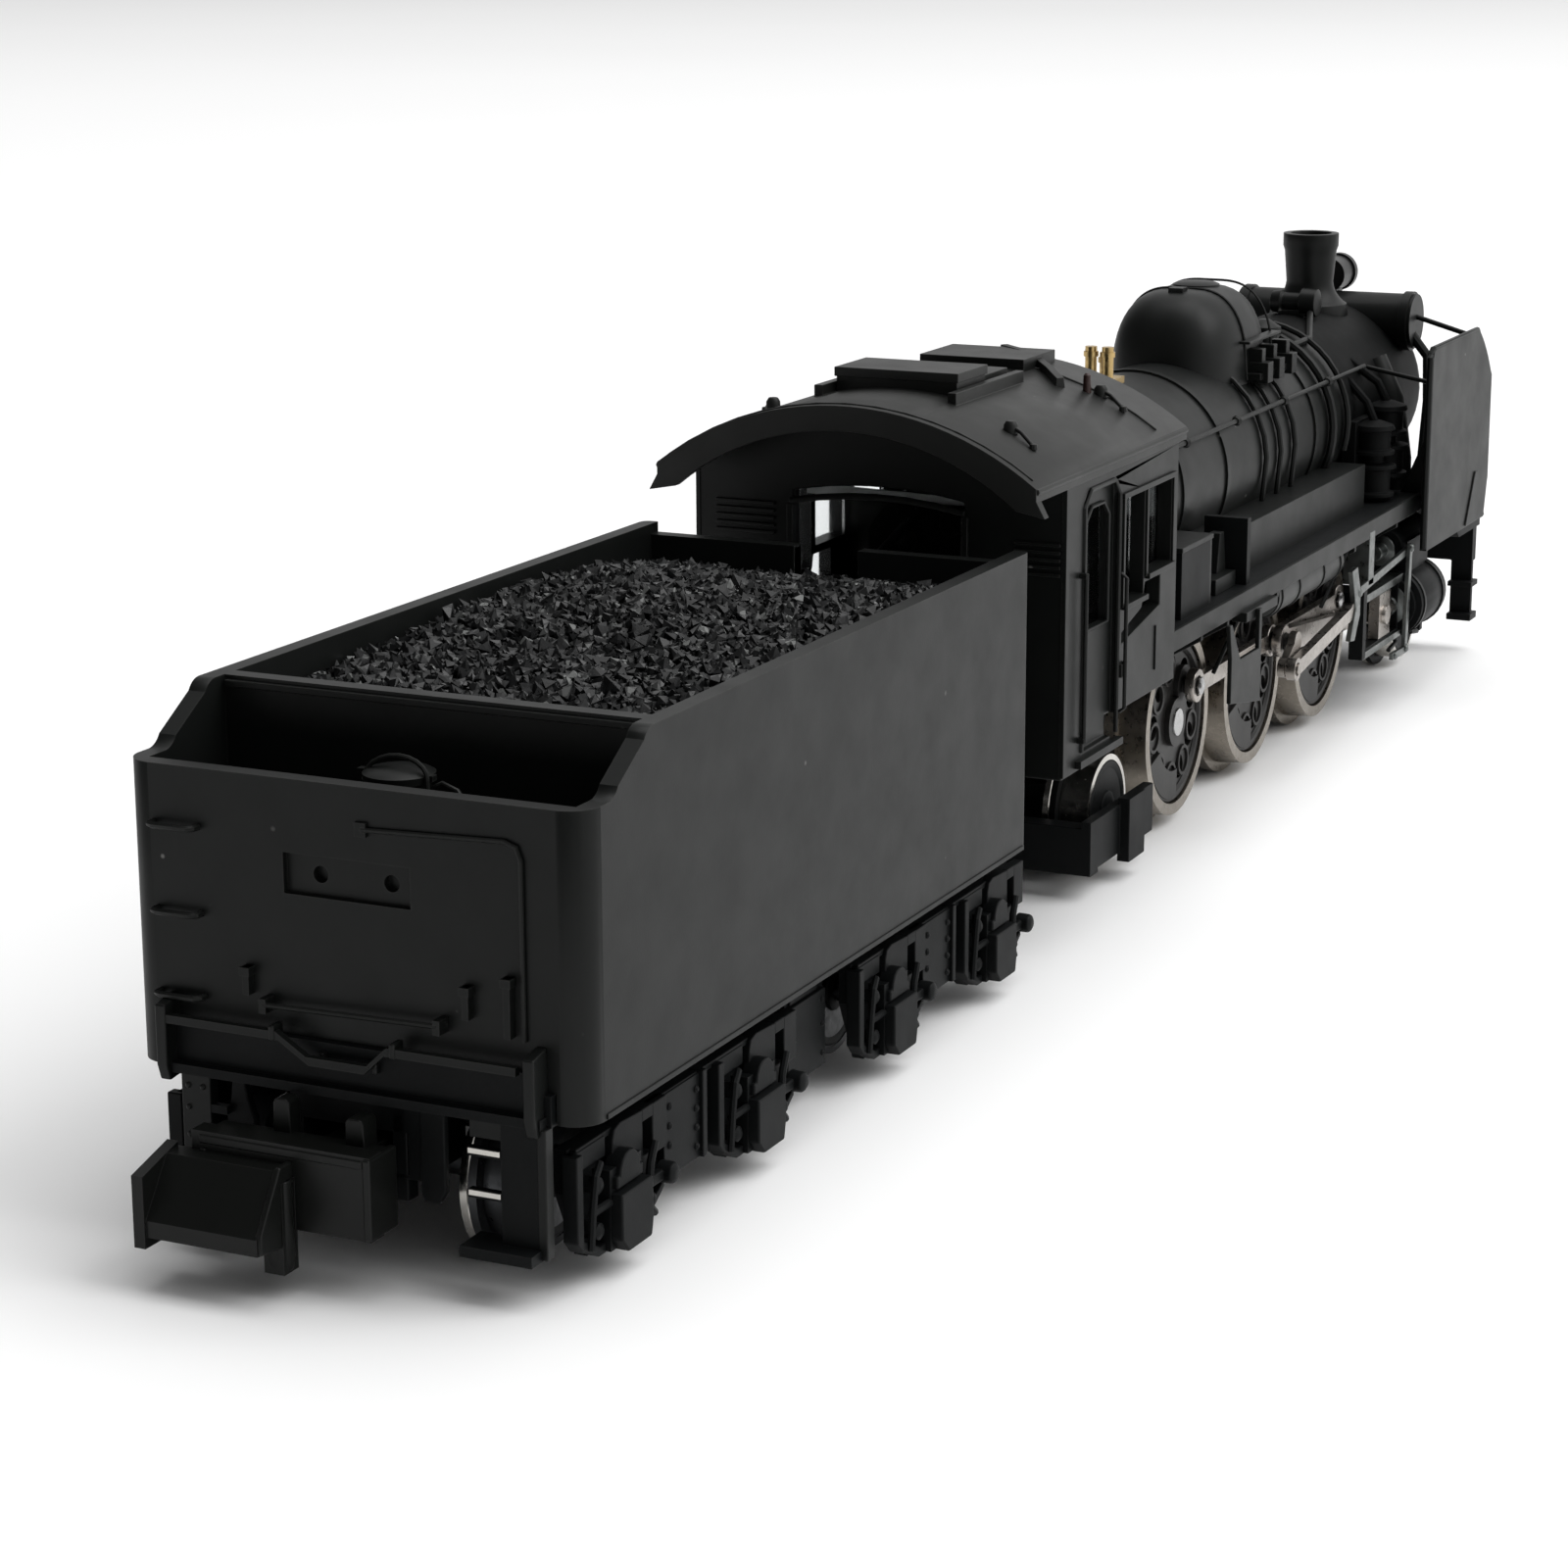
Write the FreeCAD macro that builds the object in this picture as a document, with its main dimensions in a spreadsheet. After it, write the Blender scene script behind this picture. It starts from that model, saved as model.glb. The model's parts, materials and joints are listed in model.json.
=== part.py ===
import FreeCAD, Part
import os
import re

import Sketcher

# Small-scale model of a six-coupled steam locomotive with a bogie tender, nine millimetre gauge.
# Millimetres. +X points to the front of the locomotive, +Y to its left, +Z up.
# The origin is on the ground under the middle of the whole train.

DOC = FreeCAD.newDocument("steam_locomotive")
VEC = FreeCAD.Vector

SIZES = {
    # wheels and axles, shared
    "flange_depth": 0.5, "flange_width": 0.6,
    "axle_radius": 0.75, "running_gap": 0.06, "wheel_inner": 3.7, "wheel_outer": 5.7,
    # driving wheels and rods
    "driver_radius": 4.8, "driver_spacing": 12.0, "middle_driver_x": 24.2, "driver_z": 5.3,
    "tyre_thickness": 0.65, "crank_throw": 2.0, "crank_pin_radius": 0.45,
    "coupling_rod_y": 5.95, "main_rod_y": 6.65, "rod_thickness": 0.5,
    "outer_rod_y": 7.35, "eccentric_rod_y": 7.95, "eccentric_throw": 1.1, "eccentric_length": 10.0,
    "crank_angle_right": 60, "crank_angle_left": -30,
    "main_rod_length": 16.0, "piston_z": 5.6,
    # cylinders
    "cylinder_x": 46.9, "cylinder_length": 5.2, "cylinder_radius": 1.95, "cylinder_y": 7.35,
    "slide_bar_rear_x": 36.6,
    # small wheels and trucks
    "small_radius": 2.7, "small_z": 3.2, "small_axle_radius": 0.5,
    "pony_x": 53.4, "pony_pivot_x": 41.4, "trailing_x": 2.0, "trailing_pivot_x": 8.6,
    # boiler
    "boiler_radius": 5.2, "boiler_skin": 0.6, "boiler_z": 16.4, "boiler_rear_x": 2.6,
    "boiler_front_x": 56.4, "smokebox_rear_x": 43.6, "band_height": 0.12, "band_width": 0.45,
    "chimney_x": 50.8, "chimney_top_z": 26.0, "chimney_radius": 1.62,
    "dome_rear_x": 24.0, "dome_front_x": 34.4, "dome_half_width": 3.5, "dome_top_z": 25.1,
    "drum_x": 54.9, "drum_z": 20.6, "drum_radius": 1.6, "drum_half_length": 5.4,
    # running boards
    "board_z": 11.2, "board_thickness": 0.6, "board_half_width": 8.4,
    "board_inner": 4.2, "board_front_x": 51.0,
    "front_deck_z": 8.3, "front_deck_x": 60.2,
    # cab
    "cab_rear_x": -12.3, "cab_front_x": 2.5, "cab_half_width": 8.8, "cab_wall": 0.7,
    "cab_floor_z": 8.2, "cab_skirt_z": 9.8, "eave_z": 21.7, "roof_crown": 3.0,
    "roof_rear_x": -16.1, "roof_front_x": 3.1, "roof_half_width": 8.95, "roof_thickness": 0.7,
    # smoke deflectors
    "deflector_y": 9.2, "deflector_rear_x": 44.4, "deflector_front_x": 57.6,
    "deflector_base_z": 8.8, "deflector_top_z": 20.3, "deflector_front_z": 17.2,
    "deflector_thickness": 0.4,
    # chassis and drive
    "frame_half_width": 3.2, "frame_base_z": 3.6, "keeper_base_z": 2.8, "weight_radius": 4.4,
    "motor_z": 14.9, "motor_radius": 3.5, "motor_rear_x": 2.9, "motor_front_x": 13.0,
    "shaft_radius": 0.6, "flywheel_radius": 3.2, "flywheel_rear_x": 14.6, "flywheel_front_x": 18.0,
    "worm_rear_x": 20.6, "worm_front_x": 27.8, "worm_pitch_radius": 1.2, "gear_module": 0.3,
    "idler_teeth": 20, "driver_teeth": 16, "gear_width": 1.6, "idler_z": 10.7,
    # tender
    "tender_rear_x": -56.5, "tender_front_x": -17.1, "tender_half_width": 9.1, "tender_skin": 0.7,
    "tender_base_z": 7.5, "tender_skirt_z": 6.4, "tender_rear_z": 17.3, "tender_side_z": 19.25,
    "partition_x": -50.65,
    "side_rise_rear_x": -54.9, "side_rise_front_x": -51.5, "tender_corner": 1.1,
    "tank_deck_z": 15.7, "bunker_floor_z": 14.0, "underframe_z": 6.5,
    "bogie_rear_x": -47.3, "bogie_front_x": -24.0, "bogie_half_base": 5.4, "bogie_half_width": 7.7,
    "bogie_pivot_radius": 1.0, "drawbar_z": 6.0,
    # couplers
    "coupler_pivot_x": -55.4, "rear_end_x": -61.5, "front_end_x": 61.5, "coupler_z": 4.4,
}

SHEET = DOC.addObject("Spreadsheet::Sheet", "Sizes")
for row, (alias, size) in enumerate(SIZES.items(), start=1):
    SHEET.set(f"A{row}", alias)
    SHEET.set(f"B{row}", str(size))
    SHEET.setAlias(f"B{row}", alias)
DOC.recompute()

NODES = {}


# ---------------------------------------------------------------- helpers

def bound(expression):
    """Point every alias in an expression at the sheet."""
    words = r"[a-z][a-z_0-9]*"
    return re.sub(words, lambda word: f"Sizes.{word[0]}" if word[0] in SIZES else word[0], str(expression))


def number(expression):
    """The value an expression has now."""
    return float(SHEET.evalExpression(str(expression)))


def minus(expression):
    return f"-({expression})"


def place(item, x="0", y="0", z="0"):
    for axis, value in zip("xyz", (x, y, z)):
        item.setExpression(f".Placement.Base.{axis}", bound(value))
    return item


def box(name, x, y, z):
    """A block between (low, high) expressions along each axis."""
    item = DOC.addObject("Part::Box", name)
    for side, (low, high) in zip(("Length", "Width", "Height"), (x, y, z)):
        item.setExpression(side, bound(f"({high}) - ({low})"))
    return place(item, x[0], y[0], z[0])


TURNS = {
    "x": FreeCAD.Rotation(VEC(0, 1, 0), 90),
    "y": FreeCAD.Rotation(VEC(1, 0, 0), -90),
    "z": FreeCAD.Rotation(),
}


def along(axis, low, centre):
    """Where a turned solid starts: low along its axis, centre across it."""
    across = iter(centre)
    return [low if letter == axis else next(across) for letter in "xyz"]


def cylinder(name, axis, radius, span, centre):
    """A round bar along an axis; centre holds the other two coordinates in x, y, z order."""
    item = DOC.addObject("Part::Cylinder", name)
    item.setExpression("Radius", bound(radius))
    item.setExpression("Height", bound(f"({span[1]}) - ({span[0]})"))
    item.Placement = FreeCAD.Placement(VEC(), TURNS[axis])
    return place(item, *along(axis, span[0], centre))


def fuse(name, *items):
    joined = DOC.addObject("Part::MultiFuse", name)
    joined.Shapes = list(items)
    joined.Refine = True
    return joined


def cut(name, base, *tools):
    item = DOC.addObject("Part::Cut", name)
    item.Base = base
    item.Tool = tools[0] if len(tools) == 1 else fuse(f"{name}_tools", *tools)
    item.Refine = True
    return item


def common(name, first, second):
    item = DOC.addObject("Part::MultiCommon", name)
    item.Shapes = [first, second]
    return item


def mirrored(name, source, normal=VEC(0, 1, 0)):
    item = DOC.addObject("Part::Mirroring", name)
    item.Source = source
    item.Normal = normal
    return item


def group(name, *items):
    """Separate solids kept together as one node."""
    item = DOC.addObject("Part::Compound", name)
    item.Links = list(items)
    return item


def both_sides(name, right):
    return group(name, right, mirrored(f"{name}_left", right))


def new_body(name):
    return DOC.addObject("PartDesign::Body", name)


def origin_plane(body, role):
    return next(item for item in body.Origin.OriginFeatures if item.Role == role)


def sketch_on(body, name, role, offset="0"):
    sketch = body.newObject("Sketcher::SketchObject", name)
    sketch.AttachmentSupport = [(origin_plane(body, role), "")]
    sketch.MapMode = "FlatFace"
    sketch.setExpression(".AttachmentOffset.Base.z", bound(offset))
    return sketch


def draw_outline(sketch, outline):
    """A closed outline of (u, v) corners; (u, v, bulge) starts an arc that stands bulge off its chord."""
    corners = [VEC(number(corner[0]), number(corner[1]), 0) for corner in outline]
    first = sketch.GeometryCount
    for index, corner in enumerate(outline):
        start, end = corners[index], corners[(index + 1) % len(corners)]
        if len(corner) == 2:
            sketch.addGeometry(Part.LineSegment(start, end), False)
        else:
            chord = end - start
            side = VEC(chord.y, -chord.x, 0).normalize()
            bulge = number(corner[2])
            middle = (start + end) * 0.5 + side * bulge
            ends = (start, end) if bulge > 0 else (end, start)
            sketch.addGeometry(Part.Arc(ends[0], middle, ends[1]), False)
    count = len(corners)

    def end_at(index, point):
        return 1 if (sketch.Geometry[index].StartPoint - point).Length < 1e-6 else 2

    for index in range(count):
        edge, following = first + index, first + (index + 1) % count
        corner = corners[(index + 1) % count]
        sketch.addConstraint(Sketcher.Constraint(
            "Coincident", edge, end_at(edge, corner), following, end_at(following, corner)))
    for index, corner in enumerate(outline):
        edge = first + index
        for kind, expression, value in (("DistanceX", corner[0], corners[index].x),
                                        ("DistanceY", corner[1], corners[index].y)):
            constraint = sketch.addConstraint(Sketcher.Constraint(
                kind, -1, 1, edge, end_at(edge, corners[index]), value))
            sketch.setExpression(f"Constraints[{constraint}]", bound(expression))
        if len(corner) == 3:
            arc_radius = sketch.Geometry[edge].Radius
            sketch.addConstraint(Sketcher.Constraint("Radius", edge, arc_radius))


def draw_circle(sketch, radius, centre=("0", "0")):
    place_at = [number(value) for value in centre]
    circle = sketch.addGeometry(Part.Circle(VEC(*place_at, 0), VEC(0, 0, 1), number(radius)), False)
    for kind, expression, value in (("DistanceX", centre[0], place_at[0]),
                                    ("DistanceY", centre[1], place_at[1])):
        constraint = sketch.addConstraint(Sketcher.Constraint(kind, -1, 1, circle, 3, value))
        sketch.setExpression(f"Constraints[{constraint}]", bound(expression))
    size = sketch.addConstraint(Sketcher.Constraint("Radius", circle, number(radius)))
    sketch.setExpression(f"Constraints[{size}]", bound(radius))


PLANES = {"x": "YZ_Plane", "y": "XZ_Plane", "z": "XY_Plane"}


def pad(body, name, axis, outlines, span, circles=()):
    """Extrude outlines between two coordinates along an axis; inner outlines and circles leave holes."""
    low, high = span
    offset = minus(high) if axis == "y" else low
    sketch = sketch_on(body, f"{name}_sketch", PLANES[axis], offset)
    for outline in outlines:
        draw_outline(sketch, outline)
    for radius, centre in circles:
        draw_circle(sketch, radius, centre)
    feature = body.newObject("PartDesign::Pad", name)
    feature.Profile = sketch
    feature.setExpression("Length", bound(f"({high}) - ({low})"))
    return feature


def pocket(body, name, axis, outlines, span, circles=()):
    """Cut outlines between two coordinates along an axis."""
    low, high = span
    offset = minus(low) if axis == "y" else high
    sketch = sketch_on(body, f"{name}_sketch", PLANES[axis], offset)
    for outline in outlines:
        draw_outline(sketch, outline)
    for radius, centre in circles:
        draw_circle(sketch, radius, centre)
    feature = body.newObject("PartDesign::Pocket", name)
    feature.Profile = sketch
    feature.setExpression("Length", bound(f"({high}) - ({low})"))
    return feature


def turned(name, plane, axis, outline):
    """A body turned from a half section about a sketch axis."""
    body = new_body(name)
    sketch = sketch_on(body, f"{name}_section", plane)
    draw_outline(sketch, outline)
    feature = body.newObject("PartDesign::Revolution", f"{name}_turned")
    feature.Profile = sketch
    feature.ReferenceAxis = (sketch, [axis])
    feature.Angle = 360
    return body


def fillet(body, name, radius, choose):
    """Round the edges that choose() picks."""
    DOC.recompute()
    tip = body.Tip
    edges = [f"Edge{number_}" for number_, edge in enumerate(tip.Shape.Edges, start=1) if choose(edge)]
    feature = body.newObject("PartDesign::Fillet", name)
    feature.Base = (tip, edges)
    feature.setExpression("Radius", bound(radius))
    return feature


def rectangle(u, v):
    return [(u[0], v[0]), (u[1], v[0]), (u[1], v[1]), (u[0], v[1])]


def node(name, item):
    item.Label = name
    NODES[name] = item
    return item


# ---------------------------------------------------------------- tender

def make_tender_body():
    """Tank and bunker in one thin shell: low rear plate, high sides, partition, open below."""
    body = new_body("tender_body")
    rise = 0.75
    pad(body, "tender_block", "y", [[
        ("tender_rear_x", "tender_skirt_z"),
        ("tender_front_x", "tender_skirt_z"),
        ("tender_front_x", "tender_side_z"),
        ("side_rise_front_x", "tender_side_z", 0.12),
        (f"side_rise_front_x - {rise}", "tender_side_z - 0.4"),
        (f"side_rise_rear_x + {rise}", "tender_rear_z + 0.4", -0.12),
        ("side_rise_rear_x", "tender_rear_z"),
        ("tender_rear_x", "tender_rear_z"),
    ]], ("-tender_half_width", "tender_half_width"))
    rear_x, front_x = number("tender_rear_x"), number("tender_front_x")

    def upright_at(x):
        return lambda edge: abs(edge.CenterOfMass.x - x) < 0.01 and edge.BoundBox.ZLength > 5

    fillet(body, "tender_rear_corners", "tender_corner", upright_at(rear_x))
    fillet(body, "tender_front_corners", "0.4", upright_at(front_x))
    inner_y = ("-tender_half_width + tender_skin", "tender_half_width - tender_skin")
    pocket(body, "bunker", "z", [rectangle(("partition_x + 0.35", "tender_front_x - tender_skin"), inner_y)],
           ("bunker_floor_z", "tender_side_z + 1"))
    pocket(body, "rear_well", "z",
           [rectangle(("tender_rear_x + tender_skin", "partition_x - 0.35"), inner_y)],
           ("tank_deck_z", "tender_side_z + 1"))
    pocket(body, "lower_space", "z",
           [rectangle(("tender_rear_x + tender_skin", "tender_front_x - tender_skin"), inner_y)],
           ("tender_skirt_z - 1", "bunker_floor_z - 0.8"))
    below_floor = ("tender_skirt_z - 1", "tender_base_z")
    pocket(body, "rear_beam_opening", "x", [rectangle(("-7.85", "7.85"), below_floor)],
           ("tender_rear_x - 1", "tender_rear_x + tender_skin + 0.1"))
    pocket(body, "front_floor_opening", "x", [rectangle(inner_y, below_floor)],
           ("tender_front_x - tender_skin - 0.1", "tender_front_x + 1"))
    gate_x = ("tender_front_x - tender_skin - 0.1", "tender_front_x + 1")
    pocket(body, "gate_gap", "x",
           [rectangle(("-1.5", "1.5"), ("bunker_floor_z + 1.5", "tender_side_z + 1"))],
           gate_x)
    pocket(body, "gate_top", "x", [rectangle(inner_y, ("tender_side_z - 0.45", "tender_side_z + 1"))],
           gate_x)
    plate_x = ("tender_rear_x - 1", "tender_rear_x + 0.25")
    pocket(body, "plate_recess", "x", [rectangle(("-2.4", "2.6"), ("13.25", "14.7"))], plate_x)
    pocket(body, "plate_holes", "x", [], ("tender_rear_x - 1", "tender_rear_x + 0.55"),
           [("0.3", ("1.25", "14.0")), ("0.3", ("-1.55", "14.0"))])
    node("tender_body", body)


def make_coal_load():
    """Moulded coal heap, higher towards the front."""
    body = new_body("coal_load")
    rear, front = "partition_x + 0.4", "tender_front_x - tender_skin - 0.05"
    side = "tender_half_width - tender_skin - 0.05"
    pad(body, "coal_heap", "y", [[
        (rear, "bunker_floor_z"),
        (front, "bunker_floor_z"),
        (front, "tender_side_z - 2.0"),
        (f"{front} - 6", "tender_side_z - 0.9"),
        (f"{front} - 14", "tender_side_z - 0.5"),
        (rear, "tender_side_z - 1.5"),
    ]], (minus(side), side))
    fillet(body, "coal_shoulders", "0.8",
           lambda edge: abs(abs(edge.CenterOfMass.y) - number(side)) < 0.01
           and edge.CenterOfMass.z > number("tender_side_z") - 1.8 and edge.BoundBox.XLength > 2)
    node("coal_load", body)


def make_tender_underframe():
    """Floor with side sills, rear beam and ladders, the block between the bogies and the pivot bosses."""
    sill = "(tender_half_width - tender_skin - 0.05)"
    floor_z = "underframe_z + 0.4"
    pieces = [
        box("floor_plate", ("tender_rear_x + tender_skin + 0.05", "tender_front_x + 0.9"),
            (minus(sill), sill),
            (floor_z, "tender_base_z")),
        box("floor_plug", ("tender_rear_x + tender_skin + 0.1", "tender_front_x - tender_skin - 0.1"),
            ("-tender_half_width + tender_skin + 0.1", "tender_half_width - tender_skin - 0.1"),
            ("tender_base_z", "tender_base_z + 0.5")),
        box("rear_beam", ("tender_rear_x - 0.3", "tender_rear_x + tender_skin + 0.6"), ("-7.8", "7.8"),
            ("underframe_z - 0.1", "tender_base_z")),
        box("rear_beam_face", ("tender_rear_x - 0.3", "tender_rear_x - 0.02"), ("-7.2", "7.4"),
            ("tender_base_z", "tender_base_z + 0.7")),
        box("rear_beam_lip", ("tender_rear_x - 0.7", "tender_rear_x"), ("-7.6", "7.6"),
            ("underframe_z - 0.1", "underframe_z + 0.25")),
        box("middle_block", ("-36.7", "-33.2"), ("-6.9", "6.9"), ("1.5", floor_z)),
        box("front_beam", ("tender_front_x - 0.2", "tender_front_x + 0.9"), (minus(sill), sill),
            ("underframe_z", floor_z)),
    ]
    for side_name, low, high in (("right", minus(sill), f"0.8 - {sill}"), ("left", f"{sill} - 0.8", sill)):
        pieces.append(box(f"sill_{side_name}", ("tender_rear_x + 0.9", "tender_front_x + 0.9"), (low, high),
                          ("underframe_z", floor_z)))
    for side_name, sign, rail, step in (("right", -1, (6.0, 7.5), (4.7, 7.5)),
                                        ("left", 1, (5.6, 6.6), (4.9, 6.6))):
        rail_y = sorted((sign * rail[0], sign * rail[1]))
        step_y = sorted((sign * step[0], sign * step[1]))
        pieces.append(box(f"ladder_rail_{side_name}", ("tender_rear_x - 0.6", "tender_rear_x - 0.1"), rail_y,
                          ("2.1", "underframe_z")))
        for rung, rung_z in enumerate(("3.6", "5.1")):
            pieces.append(box(f"rung_{side_name}_{rung}", ("tender_rear_x - 0.6", "tender_rear_x - 0.3"),
                              step_y,
                              (rung_z, f"{rung_z} + 0.3")))
        pieces.append(box(f"foot_tread_{side_name}", ("tender_rear_x - 1.3", "tender_rear_x + 0.2"), step_y,
                          ("1.7", "2.1")))
    for end in ("rear", "front"):
        pieces.append(cylinder(f"bogie_boss_{end}", "z", "1.9", ("underframe_z - 1.0", floor_z),
                               (f"bogie_{end}_x", "0")))
    pocket_walls = cut("coupler_pocket",
                       box("pocket_block", ("tender_rear_x - 0.1", "coupler_pivot_x + 1.8"), ("-2.6", "2.6"),
                           ("coupler_z - 0.75", floor_z)),
                       box("pocket_space", ("tender_rear_x - 1", "coupler_pivot_x + 1.6"), ("-2.1", "2.1"),
                           ("coupler_z - 0.6", "coupler_z + 0.9")))
    pieces += [
        pocket_walls,
        cylinder("coupler_pin", "z", "0.6", ("coupler_z - 0.7", "coupler_z + 1.0"),
                 ("coupler_pivot_x", "0")),
        cylinder("drawbar_pin", "z", "0.6", ("drawbar_z - 0.3", floor_z), ("tender_front_x - 2.1", "0")),
        cylinder("drawbar_boss", "z", "1.2", ("drawbar_z + 0.6", floor_z), ("tender_front_x - 2.1", "0")),
    ]
    solid = fuse("underframe_solid", *pieces)
    holes = [cylinder(f"screw_hole_{end}", "z", "bogie_pivot_radius",
                      ("underframe_z - 2", "tender_base_z + 2"), (f"bogie_{end}_x", "0"))
             for end in ("rear", "front")]
    node("tender_underframe", cut("tender_underframe", solid, *holes))


def make_tender_inside():
    node("tender_weight", box("tender_weight", ("tender_rear_x + 1.0", "tender_front_x - 1.0"),
                              ("-8.1", "8.1"), ("tender_base_z + 0.5", "bunker_floor_z - 1.0")))
    lid_x = "tender_rear_x + 3.3"
    hatch = fuse("filler_hatch",
                 cylinder("hatch_neck", "z", "1.0", ("tank_deck_z", "tank_deck_z + 0.8"), (lid_x, "0")),
                 cylinder("hatch_lid", "z", "1.2", ("tank_deck_z + 0.8", "tank_deck_z + 1.15"),
                          (lid_x, "0")),
                 box("hatch_strap", (f"{lid_x} - 0.15", f"{lid_x} + 0.15"), ("-1.5", "1.5"),
                     ("tank_deck_z + 1.15", "tank_deck_z + 1.35")))
    node("filler_hatch", hatch)
    lever = new_body("uncoupling_lever")
    top, low, thick = "tender_base_z + 1.05", "tender_base_z + 0.75", 0.3
    dip = 0.75
    pad(lever, "lever_bar", "x", [[
        ("-6.8", low), ("-1.7", low), ("-0.9", f"{low} - {dip}"), ("1.3", f"{low} - {dip}"), ("2.5", low),
        ("7.2", low), ("7.2", top), ("2.6", top), ("1.4", f"{low} - {dip} + {thick}"),
        ("-1.0", f"{low} - {dip} + {thick}"), ("-1.8", top), ("-6.8", top),
    ]], ("tender_rear_x - 0.9", "tender_rear_x - 0.62"))
    node("uncoupling_lever", lever)
    screws = []
    for end in ("rear", "front"):
        shank = cylinder(f"screw_shank_{end}", "z", "bogie_pivot_radius", ("2.8", "underframe_z + 1.2"),
                         (f"bogie_{end}_x", "0"))
        head = cylinder(f"screw_head_{end}", "z", "1.7", ("2.2", "2.8"), (f"bogie_{end}_x", "0"))
        slot = box(f"screw_slot_{end}", (f"bogie_{end}_x - 1.8", f"bogie_{end}_x + 1.8"), ("-0.2", "0.2"),
                   ("2.1", "2.45"))
        screws.append(cut(f"screw_{end}", fuse(f"screw_blank_{end}", shank, head), slot))
    node("bogie_screws", group("bogie_screws", *screws))


def make_bogie_frame(end):
    """Outside-framed bogie: two side frames with axleboxes joined by a bolster round the pivot screw."""
    name = f"{end}_bogie_frame"
    centre = f"bogie_{end}_x"
    body = new_body(name)
    top_z = "5.2"
    half_base = "bogie_half_base"
    side_outline = [
        (f"{centre} - {half_base} - 2.9", top_z),
        (f"{centre} - {half_base} - 2.9", "3.6"),
        (f"{centre} - {half_base} - 1.6", "0.95"),
        (f"{centre} - {half_base} + 1.6", "0.95"),
        (f"{centre} - 2.6", "1.8"),
        (f"{centre} + 2.6", "1.8"),
        (f"{centre} + {half_base} - 1.6", "0.95"),
        (f"{centre} + {half_base} + 1.6", "0.95"),
        (f"{centre} + {half_base} + 2.9", "3.6"),
        (f"{centre} + {half_base} + 2.9", top_z),
    ]
    width = "bogie_half_width"
    pad(body, f"{name}_right", "y", [side_outline], (minus(width), f"0.5 - {width}"))
    pad(body, f"{name}_bolster", "y", [rectangle((f"{centre} - 1.9", f"{centre} + 1.9"), ("3.0", "5.3"))],
        (f"0.2 - {width}", f"{width} - 0.2"))
    pad(body, f"{name}_left", "y", [side_outline], (f"{width} - 0.5", width))
    for side_name, low, high in (("right", f"-{width} - 0.7", f"0.1 - {width}"),
                                 ("left", f"{width} - 0.1", f"{width} + 0.7")):
        for axle_name, axle in (("a", f"{centre} - {half_base}"), ("b", f"{centre} + {half_base}")):
            pad(body, f"{name}_box_{side_name}_{axle_name}", "y",
                [rectangle((f"{axle} - 1.15", f"{axle} + 1.15"), ("1.05", "4.0"))], (low, high))
    pocket(body, f"{name}_pivot_hole", "z", [], ("2", "6"),
           [("bogie_pivot_radius + running_gap", (centre, "0"))])
    for axle_name, axle in (("a", f"{centre} - {half_base}"), ("b", f"{centre} + {half_base}")):
        pocket(body, f"{name}_bearing_{axle_name}", "y", [], (f"0.3 - {width}", f"{width} - 0.3"),
               [("small_axle_radius + running_gap", (axle, "small_z"))])
    node(name, body)


def small_wheel_section(axle_end, axle_radius="small_axle_radius"):
    """Half section of a wheelset with two flanged wheels, about the axle."""
    tread = "small_radius"
    flange = "small_radius + flange_depth"
    flange_y = "wheel_inner + flange_width"
    right = [
        (axle_end, "0"), (axle_end, axle_radius), ("wheel_outer", axle_radius),
        ("wheel_outer", f"{tread} - 0.06"), (flange_y, tread), (flange_y, flange), ("wheel_inner", flange),
        ("wheel_inner", "small_axle_radius + 0.2"),
    ]
    left = [(minus(y), z) for y, z in reversed(right)]
    return right + left


def make_small_wheelset(name, x, axle_end):
    body = turned(name, "YZ_Plane", "H_Axis", small_wheel_section(axle_end))
    node(name, place(body, x, "0", "small_z"))


def make_rear_coupler():
    """Hook coupler on a vertical pin: shank, catch plate, sloping hook and its drop peg."""
    body = new_body("rear_coupler")
    shank_z = ("coupler_z - 0.45", "coupler_z + 0.45")
    head_x = "rear_end_x + 2.9"
    pad(body, "coupler_shank", "z", [[
        (head_x, "-1.1"), ("coupler_pivot_x - 0.6", "-1.0"), ("coupler_pivot_x + 0.8", "-0.8"),
        ("coupler_pivot_x + 0.8", "0.8"), ("coupler_pivot_x - 0.6", "1.0"), (head_x, "1.1"),
    ]], shank_z)
    pad(body, "catch_plate", "x", [rectangle(("-2.2", "4.9"), ("coupler_z - 2.1", "coupler_z + 0.9"))],
        (f"{head_x} - 0.7", f"{head_x} + 0.1"))
    pad(body, "hook", "y", [[
        (f"{head_x} - 0.6", "coupler_z + 0.2"),
        ("rear_end_x + 1.5", "coupler_z + 0.2"),
        ("rear_end_x + 0.1", "coupler_z - 1.8"),
        ("rear_end_x + 0.1", "coupler_z - 2.4"),
        (f"{head_x} - 0.6", "coupler_z - 2.7"),
    ]], ("1.0", "5.6"))
    pad(body, "hook_end", "y", [[
        (f"{head_x} - 0.7", "coupler_z + 0.4"),
        ("rear_end_x", "coupler_z - 0.2"),
        ("rear_end_x", "coupler_z - 2.8"),
        (f"{head_x} - 0.7", "coupler_z - 2.8"),
    ]], ("5.45", "5.9"))
    pad(body, "drop_peg", "z", [rectangle((f"{head_x} - 1.5", f"{head_x} - 0.6"), ("0.8", "1.6"))],
        ("coupler_z - 3.5", "coupler_z - 0.2"))
    pocket(body, "pin_hole", "z", [], ("coupler_z - 2", "coupler_z + 2"),
           [("0.6 + running_gap", ("coupler_pivot_x", "0"))])
    node("rear_coupler", body)


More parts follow.
